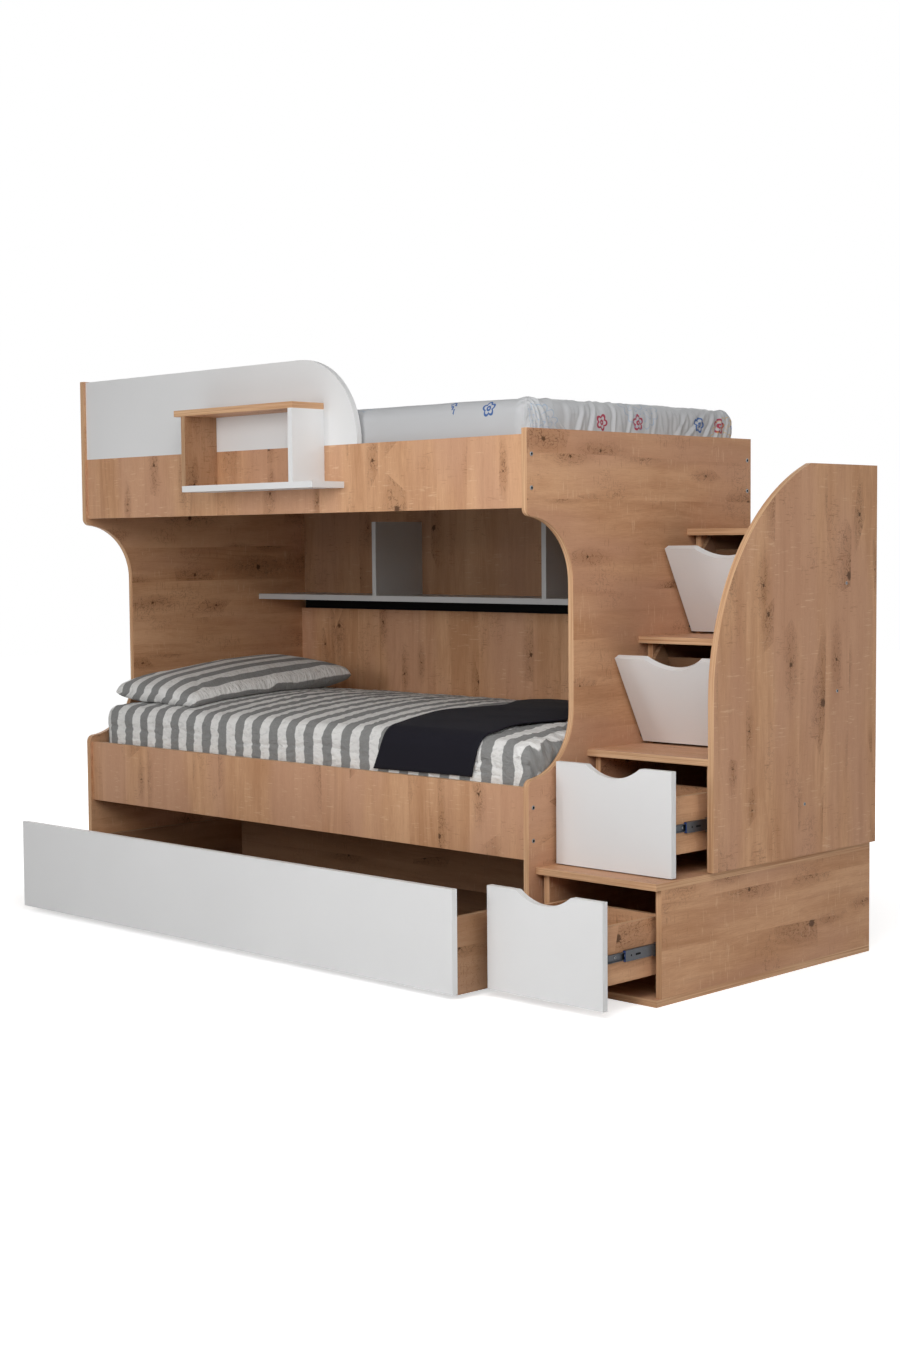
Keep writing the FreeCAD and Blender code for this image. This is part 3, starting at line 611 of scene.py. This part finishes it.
duvetSet = {
    "plan": (-1914.0, -20.0, 30.8, 924.4),
    "corner": 58.0,
    "edge": 40.0,
    "wrapped": (True, True, True, False),
    "shoulder": 633.0,
    "crown": 46.0,
    "drop": 104.0,
    "spacing": 7.0,
    "fill": 0.35,
    "cloth": 0.012,             # thickness of the quilt's body, metres
    "lining": ((60.0, 96.0), (150.0, 44.0), (420.0, 58.0)),   # place on the right end, drop
    # creases where the front hangs loose near its right corner
    "creases": (((-590.0, -6.0), (-330.0, -14.0), -3.2, 5.0),
                ((-540.0, -34.0), (-170.0, -40.0), -4.0, 5.0),
                ((-330.0, -4.0), (-150.0, -22.0), -3.4, 6.0),
                ((-1880.0, -10.0), (-1600.0, -26.0), -3.0, 6.0),
                ((-1640.0, -2.0), (-1330.0, -12.0), -2.6, 6.0),
                ((-1250.0, -30.0), (-900.0, -20.0), -2.8, 5.0),
                ((-870.0, -8.0), (-660.0, -28.0), -2.8, 6.0),
                ((-110.0, 60.0), (-14.0, -10.0), 4.0, 8.0),
                ((-60.0, 130.0), (4.0, 110.0), 4.5, 7.0),
                ((-70.0, 205.0), (6.0, 200.0), 4.5, 8.0)),
}


# Height of the duvet's top before it turns down at its edges.
def duvetTop(x, y, spec=duvetSet):
    _, _, y0, y1 = spec["plan"]
    t = np.clip((y - y0) / (y1 - y0), 0, 1)
    hump = np.sin(math.pi * np.clip(t * 0.93, 0, 1)) ** 0.8
    left = np.clip((x + 1914) / 260, 0, 1)
    right = np.clip((-x - 18) / 300, 0, 1)
    ease = (left * (2 - left)) * (0.55 + 0.45 * right * (2 - right))
    return spec["shoulder"] + spec["crown"] * hump * ease - 12 * (1 - right) ** 2


# Points of the duvet's outer surface for flat cloth places, raised by lift, and their normals.
def duvetPoints(u, v, spec=duvetSet, lift=0.0):
    x, y, drop, ux, uy, arc = wrapOver(u, v, spec)
    out = np.sin(arc)
    z = duvetTop(x, y) - drop + np.cos(arc) * lift
    return x + ux * out * lift, y + uy * out * lift, z, ux * out, uy * out, np.cos(arc), drop


def makeDuvet(spec):
    x0, x1, y0, y1 = spec["plan"]
    reach = spec["drop"] + spec["edge"] * (math.pi / 2 - 1)
    us = graded(x0 - reach, x1 + reach, 260, 4.5, spec["spacing"])
    vs = graded(y0 - reach, y1, 200, 4.5, spec["spacing"])
    u, v = np.meshgrid(us, vs, indexing="ij")
    x, y, z, nx, ny, nz, drop = duvetPoints(u, v)
    upper = np.clip(nz * 2 - 0.5, 0, 1)
    soft = rough(u, v * 0.55, 150.0, 1.3, 2) * 3.4
    crinkle = rough(u, v * 1.5, 34.0, 8.1, 2) * 2.0
    gather = np.clip((u + 190) / 150, 0, 1)
    bunch = rough(u * 0.5, v * 1.3, 44.0, 4.4, 2) * 6.0 * gather
    pleat = np.sin(v / 11.0 + rough(u, v, 90.0, 6.6, 2) * 4) * 3.4 * np.clip((u + 60) / 60, 0, 1)
    top = np.minimum(soft + crinkle + bunch + pleat, 12.0)
    side = np.minimum(soft * 0.5, 0) + crinkle + bunch * 0.5 + pleat - 2.2
    push = top * upper + np.minimum(side, 0.4) * (1 - upper)
    push += np.minimum(creases(u, v, spec["creases"]), 5 * upper + 0.5)
    x, y, z = x + nx * push, y + ny * push, z + nz * push
    points = [at(*p) for p in zip(np.minimum(x, x1 + 1).ravel(),
                                  np.minimum(y, y1).ravel(), z.ravel())]
    turned = np.clip(u + 44, 0, None)                  # past the last stripe on top
    scallop = (np.sin(v / 15.0 + 2.0 * rough(u, v, 120.0, 7.7, 2)) * 8.0
               * np.clip((u + 100) / 60, 0, 1))
    flatUv = np.stack([(u - 0.6 * turned + scallop).ravel(), v.ravel()], 1) / 1000
    cloth = meshObject("duvetCover", points, gridFaces(*u.shape), flatUv)
    places, drops = np.array(spec["lining"]).T
    hem = np.interp(v, places, drops) + 8 * np.sin(v / 17.0)
    inner = (u > x1 - spec["edge"]) & (v > places[0] - 20) & (drop > hem)
    for polygon in cloth.data.polygons:
        if inner.ravel()[polygon.vertices[0]]:
            polygon.material_index = 1
    thick = cloth.modifiers.new("body", "SOLIDIFY")
    thick.thickness = spec["cloth"]
    thick.offset = -1
    return cloth


lowerMattressSet = {
    "plan": (-1899.0, -35.0, 46.0, 924.0),
    "corner": 60.0,
    "edge": 22.0,
    "wrapped": (True, True, True, True),
    "top": 607.0,
    "bottom": 418.6,
    "spacing": (26.0, 26.0),
}


def mattressPoints(u, v, spec, crown):
    x, y, drop, ux, uy, arc = wrapOver(u, v, spec)
    x0, x1, y0, y1 = spec["plan"]
    a = np.clip((x - x0) / (x1 - x0), 0, 1)
    b = np.clip((y - y0) / (y1 - y0), 0, 1)
    swell = crown * (np.sin(math.pi * a) * np.sin(math.pi * b)) ** 0.45
    return x, y, spec["top"] + swell - drop, ux * np.sin(arc), uy * np.sin(arc), np.cos(arc), drop


# A closed mattress body; push(u, v, drop) gives the folds of its cover, outwards.
def makeMattress(name, spec, crown, push):
    x0, x1, y0, y1 = spec["plan"]
    reach = spec["top"] - spec["bottom"] + spec["edge"] * (math.pi / 2 - 1)
    fine, coarse = spec["spacing"]
    us = graded(x0 - reach, x1 + reach, reach + 110, fine, coarse)
    vs = graded(y0 - reach, y1 + reach, reach + 110, fine, fine)
    u, v = np.meshgrid(us, vs, indexing="ij")
    x, y, z, nx, ny, nz, drop = mattressPoints(u, v, spec, crown)
    fold = push(u, v, drop)
    x, y, z = x + nx * fold, y + ny * fold, np.maximum(z + nz * fold, spec["bottom"])
    points = [at(*p) for p in zip(x.ravel(), y.ravel(), z.ravel())]
    rows, columns = u.shape
    faces = gridFaces(rows, columns)
    rim = [i * columns for i in range(rows)]
    rim += [(rows - 1) * columns + j for j in range(1, columns)]
    rim += [i * columns + columns - 1 for i in range(rows - 2, -1, -1)]
    rim += list(range(columns - 2, 0, -1))
    faces.append(rim)
    flatUv = np.stack([u.ravel(), v.ravel()], 1) / 1000
    return meshObject(name, points, faces, flatUv)


duvet = makeDuvet(duvetSet)
duvet.data.materials.append(stripedCotton("stripedCotton", 0.044))
duvet.data.materials.append(plainCotton("coverLining"))
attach(duvet, "root")
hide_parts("duvet")

lowerMattress = makeMattress("lowerMattressBody", lowerMattressSet, 0.0,
                             lambda u, v, drop: -1.0 - 0.5 * np.cos(drop / 190 * math.pi))
lowerMattress.data.materials.append(ticking("mattressTicking"))
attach(lowerMattress, "root")
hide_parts("lower_mattress")
print("lower bed made")

pillowSet = {
    "size": (436.0, 660.0),
    "centre": (-1690.0, 412.0),
    "seam": 703.0,             # height of the seam at the centre
    "rises": (-0.052, 0.098),  # slope of the seam along the bed and towards the wall
    "turn": -2.0,
    "above": 65.0,             # fullness over and under the seam
    "below": 62.0,
    "full": 0.50,              # under one fills out the sides
    "square": 0.92,            # how far the corners keep their cut shape
    "cells": (46, 66),
    "fill": 0.8,
    "frames": 24,
    "pressure": 9.0,
    # creases from the front right corner, from the middle, in cut places
    "creases": (((205.0, -318.0), (120.0, -120.0), 5.0, 9.0),
                ((200.0, -300.0), (50.0, -190.0), -4.5, 8.0),
                ((190.0, -250.0), (150.0, -90.0), -4.0, 8.0),
                ((205.0, 300.0), (150.0, 160.0), 4.0, 9.0),
                ((-205.0, -300.0), (-130.0, -190.0), 4.0, 9.0)),
}


# Blows a closed cloth up for a few frames and keeps the result.
def puff(obj, frames, pressure):
    cloth = obj.modifiers.new("cloth", "CLOTH")
    settings = cloth.settings
    settings.quality = 5
    settings.mass = 0.25
    settings.tension_stiffness = 18
    settings.compression_stiffness = 18
    settings.shear_stiffness = 8
    settings.bending_stiffness = 4.0
    settings.use_pressure = True
    settings.uniform_pressure_force = pressure
    settings.effector_weights.gravity = 0
    cloth.point_cache.frame_start = 1
    cloth.point_cache.frame_end = frames
    scene = bpy.context.scene
    for number in range(1, frames + 1):
        scene.frame_set(number)
    shaped = obj.evaluated_get(bpy.context.evaluated_depsgraph_get())
    places = [v.co.copy() for v in shaped.data.vertices]
    obj.modifiers.remove(cloth)
    for vertex, place in zip(obj.data.vertices, places):
        vertex.co = place
    scene.frame_set(1)


# Two sewn sheets blown up by a cloth simulation, then scaled to the pillow's own outline
# and rises, creased, and laid on the duvet.
def makePillow(spec):
    wide, deep = spec["size"]
    rows, columns = spec["cells"]
    aa, bb = np.meshgrid(np.linspace(-1, 1, rows), np.linspace(-1, 1, columns), indexing="ij")
    bulge = ((1 - aa ** 2) * (1 - bb ** 2)) ** 0.40 * 50
    cut, points, faces = [], [], []
    for side in (1, -1):
        index = np.empty((rows, columns), int)
        for i in range(rows):
            for j in range(columns):
                if side < 0 and (i in (0, rows - 1) or j in (0, columns - 1)):
                    index[i, j] = upper[i, j]
                    continue
                index[i, j] = len(points)
                cut.append((aa[i, j] * wide / 2, bb[i, j] * deep / 2, side * bulge[i, j]))
                points.append(Vector(cut[-1]) / 1000)
        for i in range(rows - 1):
            for j in range(columns - 1):
                quad = [index[i, j], index[i + 1, j], index[i + 1, j + 1], index[i, j + 1]]
                faces.append([int(k) for k in (quad if side > 0 else quad[::-1])])
        upper = index
    cut = np.array(cut)
    # the stripes of the lower sheet start half a stripe on
    shift = np.where(cut[:, 2:] < 0, [stripeSet["width"], 0.0], [0.0, 0.0])
    pillow = meshObject("pillowBody", points, faces, cut[:, :2] / 1000 + shift)
    puff(pillow, spec["frames"], spec["pressure"])
    place = np.array([p.co for p in pillow.data.vertices]) * 1000
    place *= np.array([wide, deep, 2.0]) / (place.max(0) - place.min(0))
    plan = spec["square"] * cut[:, :2] + (1 - spec["square"]) * place[:, :2]
    reach = np.where(place[:, 2] > 0, spec["above"], -spec["below"])
    height = np.abs(place[:, 2]) ** spec["full"] * reach
    middle = np.clip(np.abs(place[:, 2]) * 3, 0, 1)
    height += creases(plan[:, 0], plan[:, 1], spec["creases"]) * np.sign(place[:, 2]) * middle
    turn = math.radians(spec["turn"])
    x = spec["centre"][0] + plan[:, 0] * math.cos(turn) - plan[:, 1] * math.sin(turn)
    y = spec["centre"][1] + plan[:, 0] * math.sin(turn) + plan[:, 1] * math.cos(turn)
    z = spec["seam"] + (x - spec["centre"][0]) * spec["rises"][0] + height
    z += (y - spec["centre"][1]) * spec["rises"][1]
    z = np.maximum(z, duvetTop(x, y) + 1.5)
    for vertex, p in zip(pillow.data.vertices, zip(x, y, z)):
        vertex.co = at(*p)
    smooth = pillow.modifiers.new("round", "SUBSURF")
    smooth.levels = 1
    smooth.render_levels = 1
    return pillow


pillow = makePillow(pillowSet)
pillow.data.materials.append(stripedCotton("stripedPillow", 0.0196, 0.006))
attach(pillow, "root")
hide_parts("pillow")
print("pillow made")

throwSet = {
    # left and right edges: distance over the duvet from its front edge, then place along the bed
    "left": ((-91.0, -613.0), (-45.0, -592.0), (0.0, -572.0), (60.0, -570.0), (225.0, -590.0),
             (285.0, -555.0), (350.0, -500.0), (415.0, -490.0), (560.0, -574.0), (862.0, -620.0)),
    "right": ((-86.0, -229.0), (-40.0, -217.0), (0.0, -204.0), (60.0, -190.0), (120.0, -202.0),
              (230.0, -170.0), (290.0, -139.0), (420.0, -130.0), (700.0, -150.0), (862.0, -160.0)),
    "cells": (48, 110),
    "clear": 3.4,
    "thickness": 0.0022,
    "flat": (0.49, 0.953),      # the outline's width and length, laid out flat, metres
}


def makeThrow(spec):
    rows, columns = spec["cells"]
    along = np.linspace(0, 1, columns)
    edges = []
    for side in ("left", "right"):
        places = np.array(spec[side])
        dist = places[0, 0] + along * (places[-1, 0] - places[0, 0])
        xs = np.interp(dist, places[:, 0], places[:, 1])
        for _ in range(6):
            xs[1:-1] = (xs[:-2] + 2 * xs[1:-1] + xs[2:]) / 4
        edges.append((xs, dist + duvetSet["plan"][2]))
    # area inside the flat outline, before the cloth is laid over the bed
    outlineX = np.concatenate([edges[0][0], edges[1][0][::-1]])
    outlineY = np.concatenate([edges[0][1], edges[1][1][::-1]])
    turned = outlineX @ np.roll(outlineY, -1) - outlineY @ np.roll(outlineX, -1)
    flatArea = abs(turned) / 2e6
    share = np.linspace(0, 1, rows)[:, None]
    u = edges[0][0] * (1 - share) + edges[1][0] * share
    v = edges[0][1] * (1 - share) + edges[1][1] * share
    x, y, z, nx, ny, nz, _ = duvetPoints(u, v, lift=spec["clear"])
    fold = rough(u * 0.35, v, 120.0, 2.2, 2) * 2.2 + 3.0
    push = np.maximum(fold, 1.0) * np.clip(nz * 2 - 0.5, 0, 1)
    x, y, z = x + nx * push, y + ny * push, z + nz * push
    points = [at(*p) for p in zip(x.ravel(), y.ravel(), z.ravel())]
    flatUv = np.stack([u.ravel(), v.ravel()], 1) / 1000
    cloth = meshObject("throwCloth", points, gridFaces(rows, columns), flatUv)
    thick = cloth.modifiers.new("body", "SOLIDIFY")
    thick.thickness = spec["thickness"]
    thick.offset = 1
    return cloth, flatArea


throw, throwFlatArea = makeThrow(throwSet)
throw.data.materials.append(darkKnit("darkKnit"))
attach(throw, "root")
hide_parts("throw")
laidArea = sum(face.area for face in throw.data.polygons)
print("throw made: flat area", round(throwFlatArea, 3), "laid area", round(laidArea, 3))

upperMattressSet = {
    "plan": (-1921.0, -22.0, 34.0, 936.0),
    "corner": 54.0,
    "edge": 38.0,
    "wrapped": (True, True, True, True),
    "top": 1530.0,
    "bottom": 1338.8,
    "spacing": (3.6, 22.0),
    "crown": 17.0,
    # gathers on the ends: place along the end at their top and foot, drop there, height, width
    "gathers": ((66, 112, -16, 120, 7, 5), (52, 190, -6, 120, 6, 5), (40, 60, 14, 140, 5, 6),
                (262, 222, 20, 120, 4, 6), (310, 275, 4, 120, 6, 5), (386, 374, 6, 120, 6, 5),
                (462, 436, 14, 120, 5, 5), (560, 545, 30, 120, 3.5, 6), (700, 640, 34, 120, 4, 6),
                (800, 690, 24, 110, 7, 5), (836, 770, 20, 120, 7, 4.5), (872, 822, 10, 120, 6, 4.5),
                (905, 868, 0, 120, 6, 4.5)),
}


# Gathers of the elastic hem, mirrored on the left end, over slack in the whole cover.
def sheetFolds(u, v, drop):
    x0, x1, y0, _ = upperMattressSet["plan"]
    edge = upperMattressSet["edge"]
    out = rough(u, v, 260.0, 3.0, 2) * 1.6 - 1.2
    for end, way in ((x1 - edge, 1), (x0 + edge, -1)):
        lines = [((end + way * top, y0 + start - 34), (end + way * low, y0 + foot - 34),
                  height, width)
                 for start, foot, top, low, height, width in upperMattressSet["gathers"]]
        out += creases(u, v, lines)
        near = np.clip((way * (u - end) + 60) / 120, 0, 1)
        out += rough(u * 0.35, v * 1.4, 52.0, 9.0 + way, 3) * 4.0 * near
    corners = [((end + way * 8, y + 30 * side),
                (end + way * (60 + 40 * k), y + side * (-40 + 34 * k)), 5, 7)
               for end, way in ((x1 - edge, 1), (x0 + edge, -1))
               for y, side in ((y0, 1), (upperMattressSet["plan"][3], -1)) for k in range(3)]
    return np.minimum(out + creases(u, v, corners), 3.5)


upperMattress = makeMattress("upperMattressSheet", upperMattressSet,
                             upperMattressSet["crown"], sheetFolds)
upperMattress.data.materials.append(printedSheet("printedSheet"))
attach(upperMattress, "root")
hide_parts("upper_mattress")
print("upper mattress made")

fittingSet = {
    "head": 6.0,             # radius of a bolt head, mm
    "socket": 3.3,           # half the width of its hexagon
    "rise": 1.6,
    "depth": 1.5,
    "end": ((18.0, 1383.0), (18.0, 1296.0), (18.0, 466.5), (18.0, 379.5),
            (949.0, 1388.0), (949.0, 1300.0)),
    "tall": ((830.6, 1038.3), (787.0, 745.8), (635.3, 451.5)),
}


# painted shade: near-black for the insides of bolt sockets and slide holes
paintedHoleShade = hardboard("holeShadow", rgb(0.006, 0.006, 0.007))


# Domed head with a hexagonal socket, standing on a surface; rings go from its rim to its floor.
def boltHead(place, out, radius, spec, points, faces):
    side = out.orthogonal().normalized()
    up = out.cross(side)
    start, count = len(points), 24
    scale = radius / spec["head"]
    socket = spec["socket"] * scale
    rings = ((radius, 0.0, 0), (radius, spec["rise"] * 0.55, 0),
             (radius * 0.88, spec["rise"] * 0.9, 0), (radius * 0.70, spec["rise"], 0),
             (socket, spec["rise"], 1), (socket, spec["rise"] - spec["depth"], 1))
    for far, height, hexed in rings:
        for k in range(count):
            angle = 2 * math.pi * k / count
            slot = math.cos(math.pi / 6) / math.cos((angle % (math.pi / 3)) - math.pi / 6)
            reach = far * (slot * 1.1547 if hexed else 1)
            points.append(place + (side * math.cos(angle) + up * math.sin(angle)) * reach / 1000
                          + out * height / 1000)
    for ring in range(len(rings) - 1):
        for k in range(count):
            a, b = start + ring * count + k, start + ring * count + (k + 1) % count
            faces.append((a, b, b + count, a + count))
    faces.append(tuple(range(len(points) - count, len(points))))


# Where a level line in the given direction first meets a node, at a place given in mm.
def onto(node, origin, way):
    hit, place, _, _ = nodes[node].ray_cast(at(*origin), Vector(way))
    return place if hit else None


def makeHeads(name, node, places, way, radius, spec=fittingSet):
    points, faces = [], []
    for y, z in places:
        place = onto(node, (-3000.0 * way, y, z), (way, 0, 0))
        if place is not None:
            boltHead(place, Vector((-way, 0, 0)), radius, spec, points, faces)
    heads = meshObject(name, points, faces, smooth=False)
    heads.data.materials.append(brightSteel)
    heads.data.materials.append(paintedHoleShade)
    for polygon in heads.data.polygons:
        # socket walls and floor take the painted hole shade
        sunk = len(polygon.vertices) > 4 or polygon.index % 121 >= 96
        polygon.material_index = 1 if sunk else 0
    return heads


for label, node, places, way, radius in (
        ("rightEndBolts", "right_end_panel", fittingSet["end"], -1, 6.0),
        ("leftEndBolts", "left_end_panel", fittingSet["end"], 1, 6.0),
        ("tallSideScrews", "tall_side_panel", fittingSet["tall"], -1, 4.5)):
    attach(makeHeads(label, node, places, way, radius), "root")

slideSet = {
    # drawer: heights of the web's middle, drawer body, slide body
    "drawers": (("base", 141.0, "base_drawer", "base_slide"),
                ("second", 432.3, "second_drawer", "second_slide")),
    "screws": (16.0, 52.0, 90.0, 230.0, 330.0),     # along the drawer member from its front end
    "holes": (22.0, 120.0, 200.0, 300.0),            # along the middle member from its front end
    "slots": ((48.0, 15.0), (160.0, 15.0), (250.0, 15.0)),   # place and length
    "screw": 3.6,
    "hole": 2.6,
    "mat": 0.15,                # how far a hole's painted-shade disc stands off the steel
}


# Painted shade of punched holes and slots on a slide: a dark flat stadium over each.
def punched(name, node, places, height, spec):
    points, faces = [], []
    for y, length in places:
        hit = onto(node, (700.0, y, height), (-1, 0, 0))
        if hit is None:
            continue
        start = len(points)
        for k in range(20):
            angle = 2 * math.pi * (k + 0.5) / 20
            shift = math.copysign(length / 2, math.cos(angle))
            points.append(hit + Vector((spec["mat"], math.cos(angle) * spec["hole"] + shift,
                                        math.sin(angle) * spec["hole"])) / 1000)
        faces.append(tuple(range(start, start + 20)))
    dots = meshObject(name, points, faces, smooth=False)
    dots.data.materials.append(paintedHoleShade)
    return dots


for kind, height, drawerBody, slideBody in slideSet["drawers"]:
    member, middle = kind + "_slide_drawer_members", kind + "_slide_middle_members"
    front = (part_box(member)[0].y - bedY) * 1000
    places = [(front + step, height) for step in slideSet["screws"]]
    screws = makeHeads(kind + "SlideScrews", member, places, -1, slideSet["screw"])
    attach(screws, drawerBody)
    front = (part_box(middle)[0].y - bedY) * 1000
    spots = [(front + step, 0.0) for step in slideSet["holes"]]
    spots += [(front + step, length) for step, length in slideSet["slots"]]
    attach(punched(kind + "SlideHoles", middle, spots, height, slideSet), slideBody)
print("fittings made")


def makeFloor():
    size = 14.0
    points = [(-size, -size, 0), (size, -size, 0), (size, size, 0), (-size, size, 0)]
    floor = meshObject("floor", points, [(0, 1, 2, 3)], smooth=False)
    g = newMaterial("paleFloor")
    seen = g.node("ShaderNodeLightPath", output="Is Camera Ray")
    seen = seen.most(g.node("ShaderNodeLightPath", output="Is Glossy Ray"))
    seen = seen.most(g.node("ShaderNodeLightPath", output="Is Transmission Ray"))
    place = g.place()
    x, y, _ = g.split(place)
    away = ((x * x) + (y * y)) ** 0.5
    mist = g.noise(place, 2.0, 1.0)
    pale = g.node("ShaderNodeBsdfDiffuse",
                  {"Color": g.mix(mist, rgb(0.80, 0.80, 0.80), rgb(0.82, 0.82, 0.82))})
    shine = g.mix(away.step(0.9, 3.2), rgb(0.60, 0.60, 0.60), rgb(1, 1, 1))
    glow = g.node("ShaderNodeEmission", {"Color": shine})
    both = g.node("ShaderNodeAddShader", [pale, glow])
    shader = g.node("ShaderNodeMixShader", [seen, pale, both])
    g.node("ShaderNodeOutputMaterial", {"Surface": shader})
    floor.data.materials.append(g.owner)


# White where the camera or a reflection sees it, and a faint grey light elsewhere.
def makeWorld(ambient):
    world = bpy.data.worlds.new("studio")
    bpy.context.scene.world = world
    g = Graph(world)
    seen = g.node("ShaderNodeLightPath", output="Is Camera Ray")
    seen = seen.most(g.node("ShaderNodeLightPath", output="Is Glossy Ray"))
    grey = g.node("ShaderNodeBackground", {"Color": rgb(1, 1, 1), "Strength": ambient})
    white = g.node("ShaderNodeBackground", {"Color": rgb(1, 1, 1), "Strength": 1.0})
    g.node("ShaderNodeOutputWorld", {"Surface": g.node("ShaderNodeMixShader", [seen, grey, white])})


lampSet = {
    # name: place in mm, point aimed at, size in metres, power in watts
    "key": ((-1000.0, -4600.0, 2400.0), (-700.0, 400.0, 850.0), 1.6, 37.0),
    "bunk": ((-1300.0, -3300.0, 1250.0), (-1100.0, 400.0, 600.0), 1.0, 19.0),
    "near": ((1500.0, -1500.0, 3200.0), (-500.0, 400.0, 850.0), 1.2, 27.0),
    "low": ((1100.0, -2100.0, 1900.0), (-300.0, 300.0, 500.0), 1.0, 20.0),
    "right": ((3100.0, -3000.0, 2600.0), (-700.0, 400.0, 850.0), 1.8, 33.0),
    "end": ((4400.0, 700.0, 2600.0), (-700.0, 400.0, 850.0), 1.8, 42.0),
    "back": ((-1400.0, 5200.0, 2900.0), (-700.0, 900.0, 800.0), 2.4, 75.0),
    "left": ((-5600.0, 1400.0, 2600.0), (-1900.0, 500.0, 800.0), 2.0, 40.0),
}


def makeLamp(name, place, target, size, power):
    data = bpy.data.lights.new(name, "AREA")
    data.shape = "SQUARE"
    data.size = size
    data.energy = power
    lamp = bpy.data.objects.new(name, data)
    bpy.context.scene.collection.objects.link(lamp)
    lamp.location = at(*place)
    aim = at(*target) - lamp.location
    lamp.rotation_euler = aim.to_track_quat("-Z", "Y").to_euler()


makeFloor()
makeWorld(0.05)
for lampName, (place, target, size, power) in lampSet.items():
    makeLamp(lampName, place, target, size, power)
bpy.context.scene.view_settings.view_transform = "Standard"
print("stage and lights made")
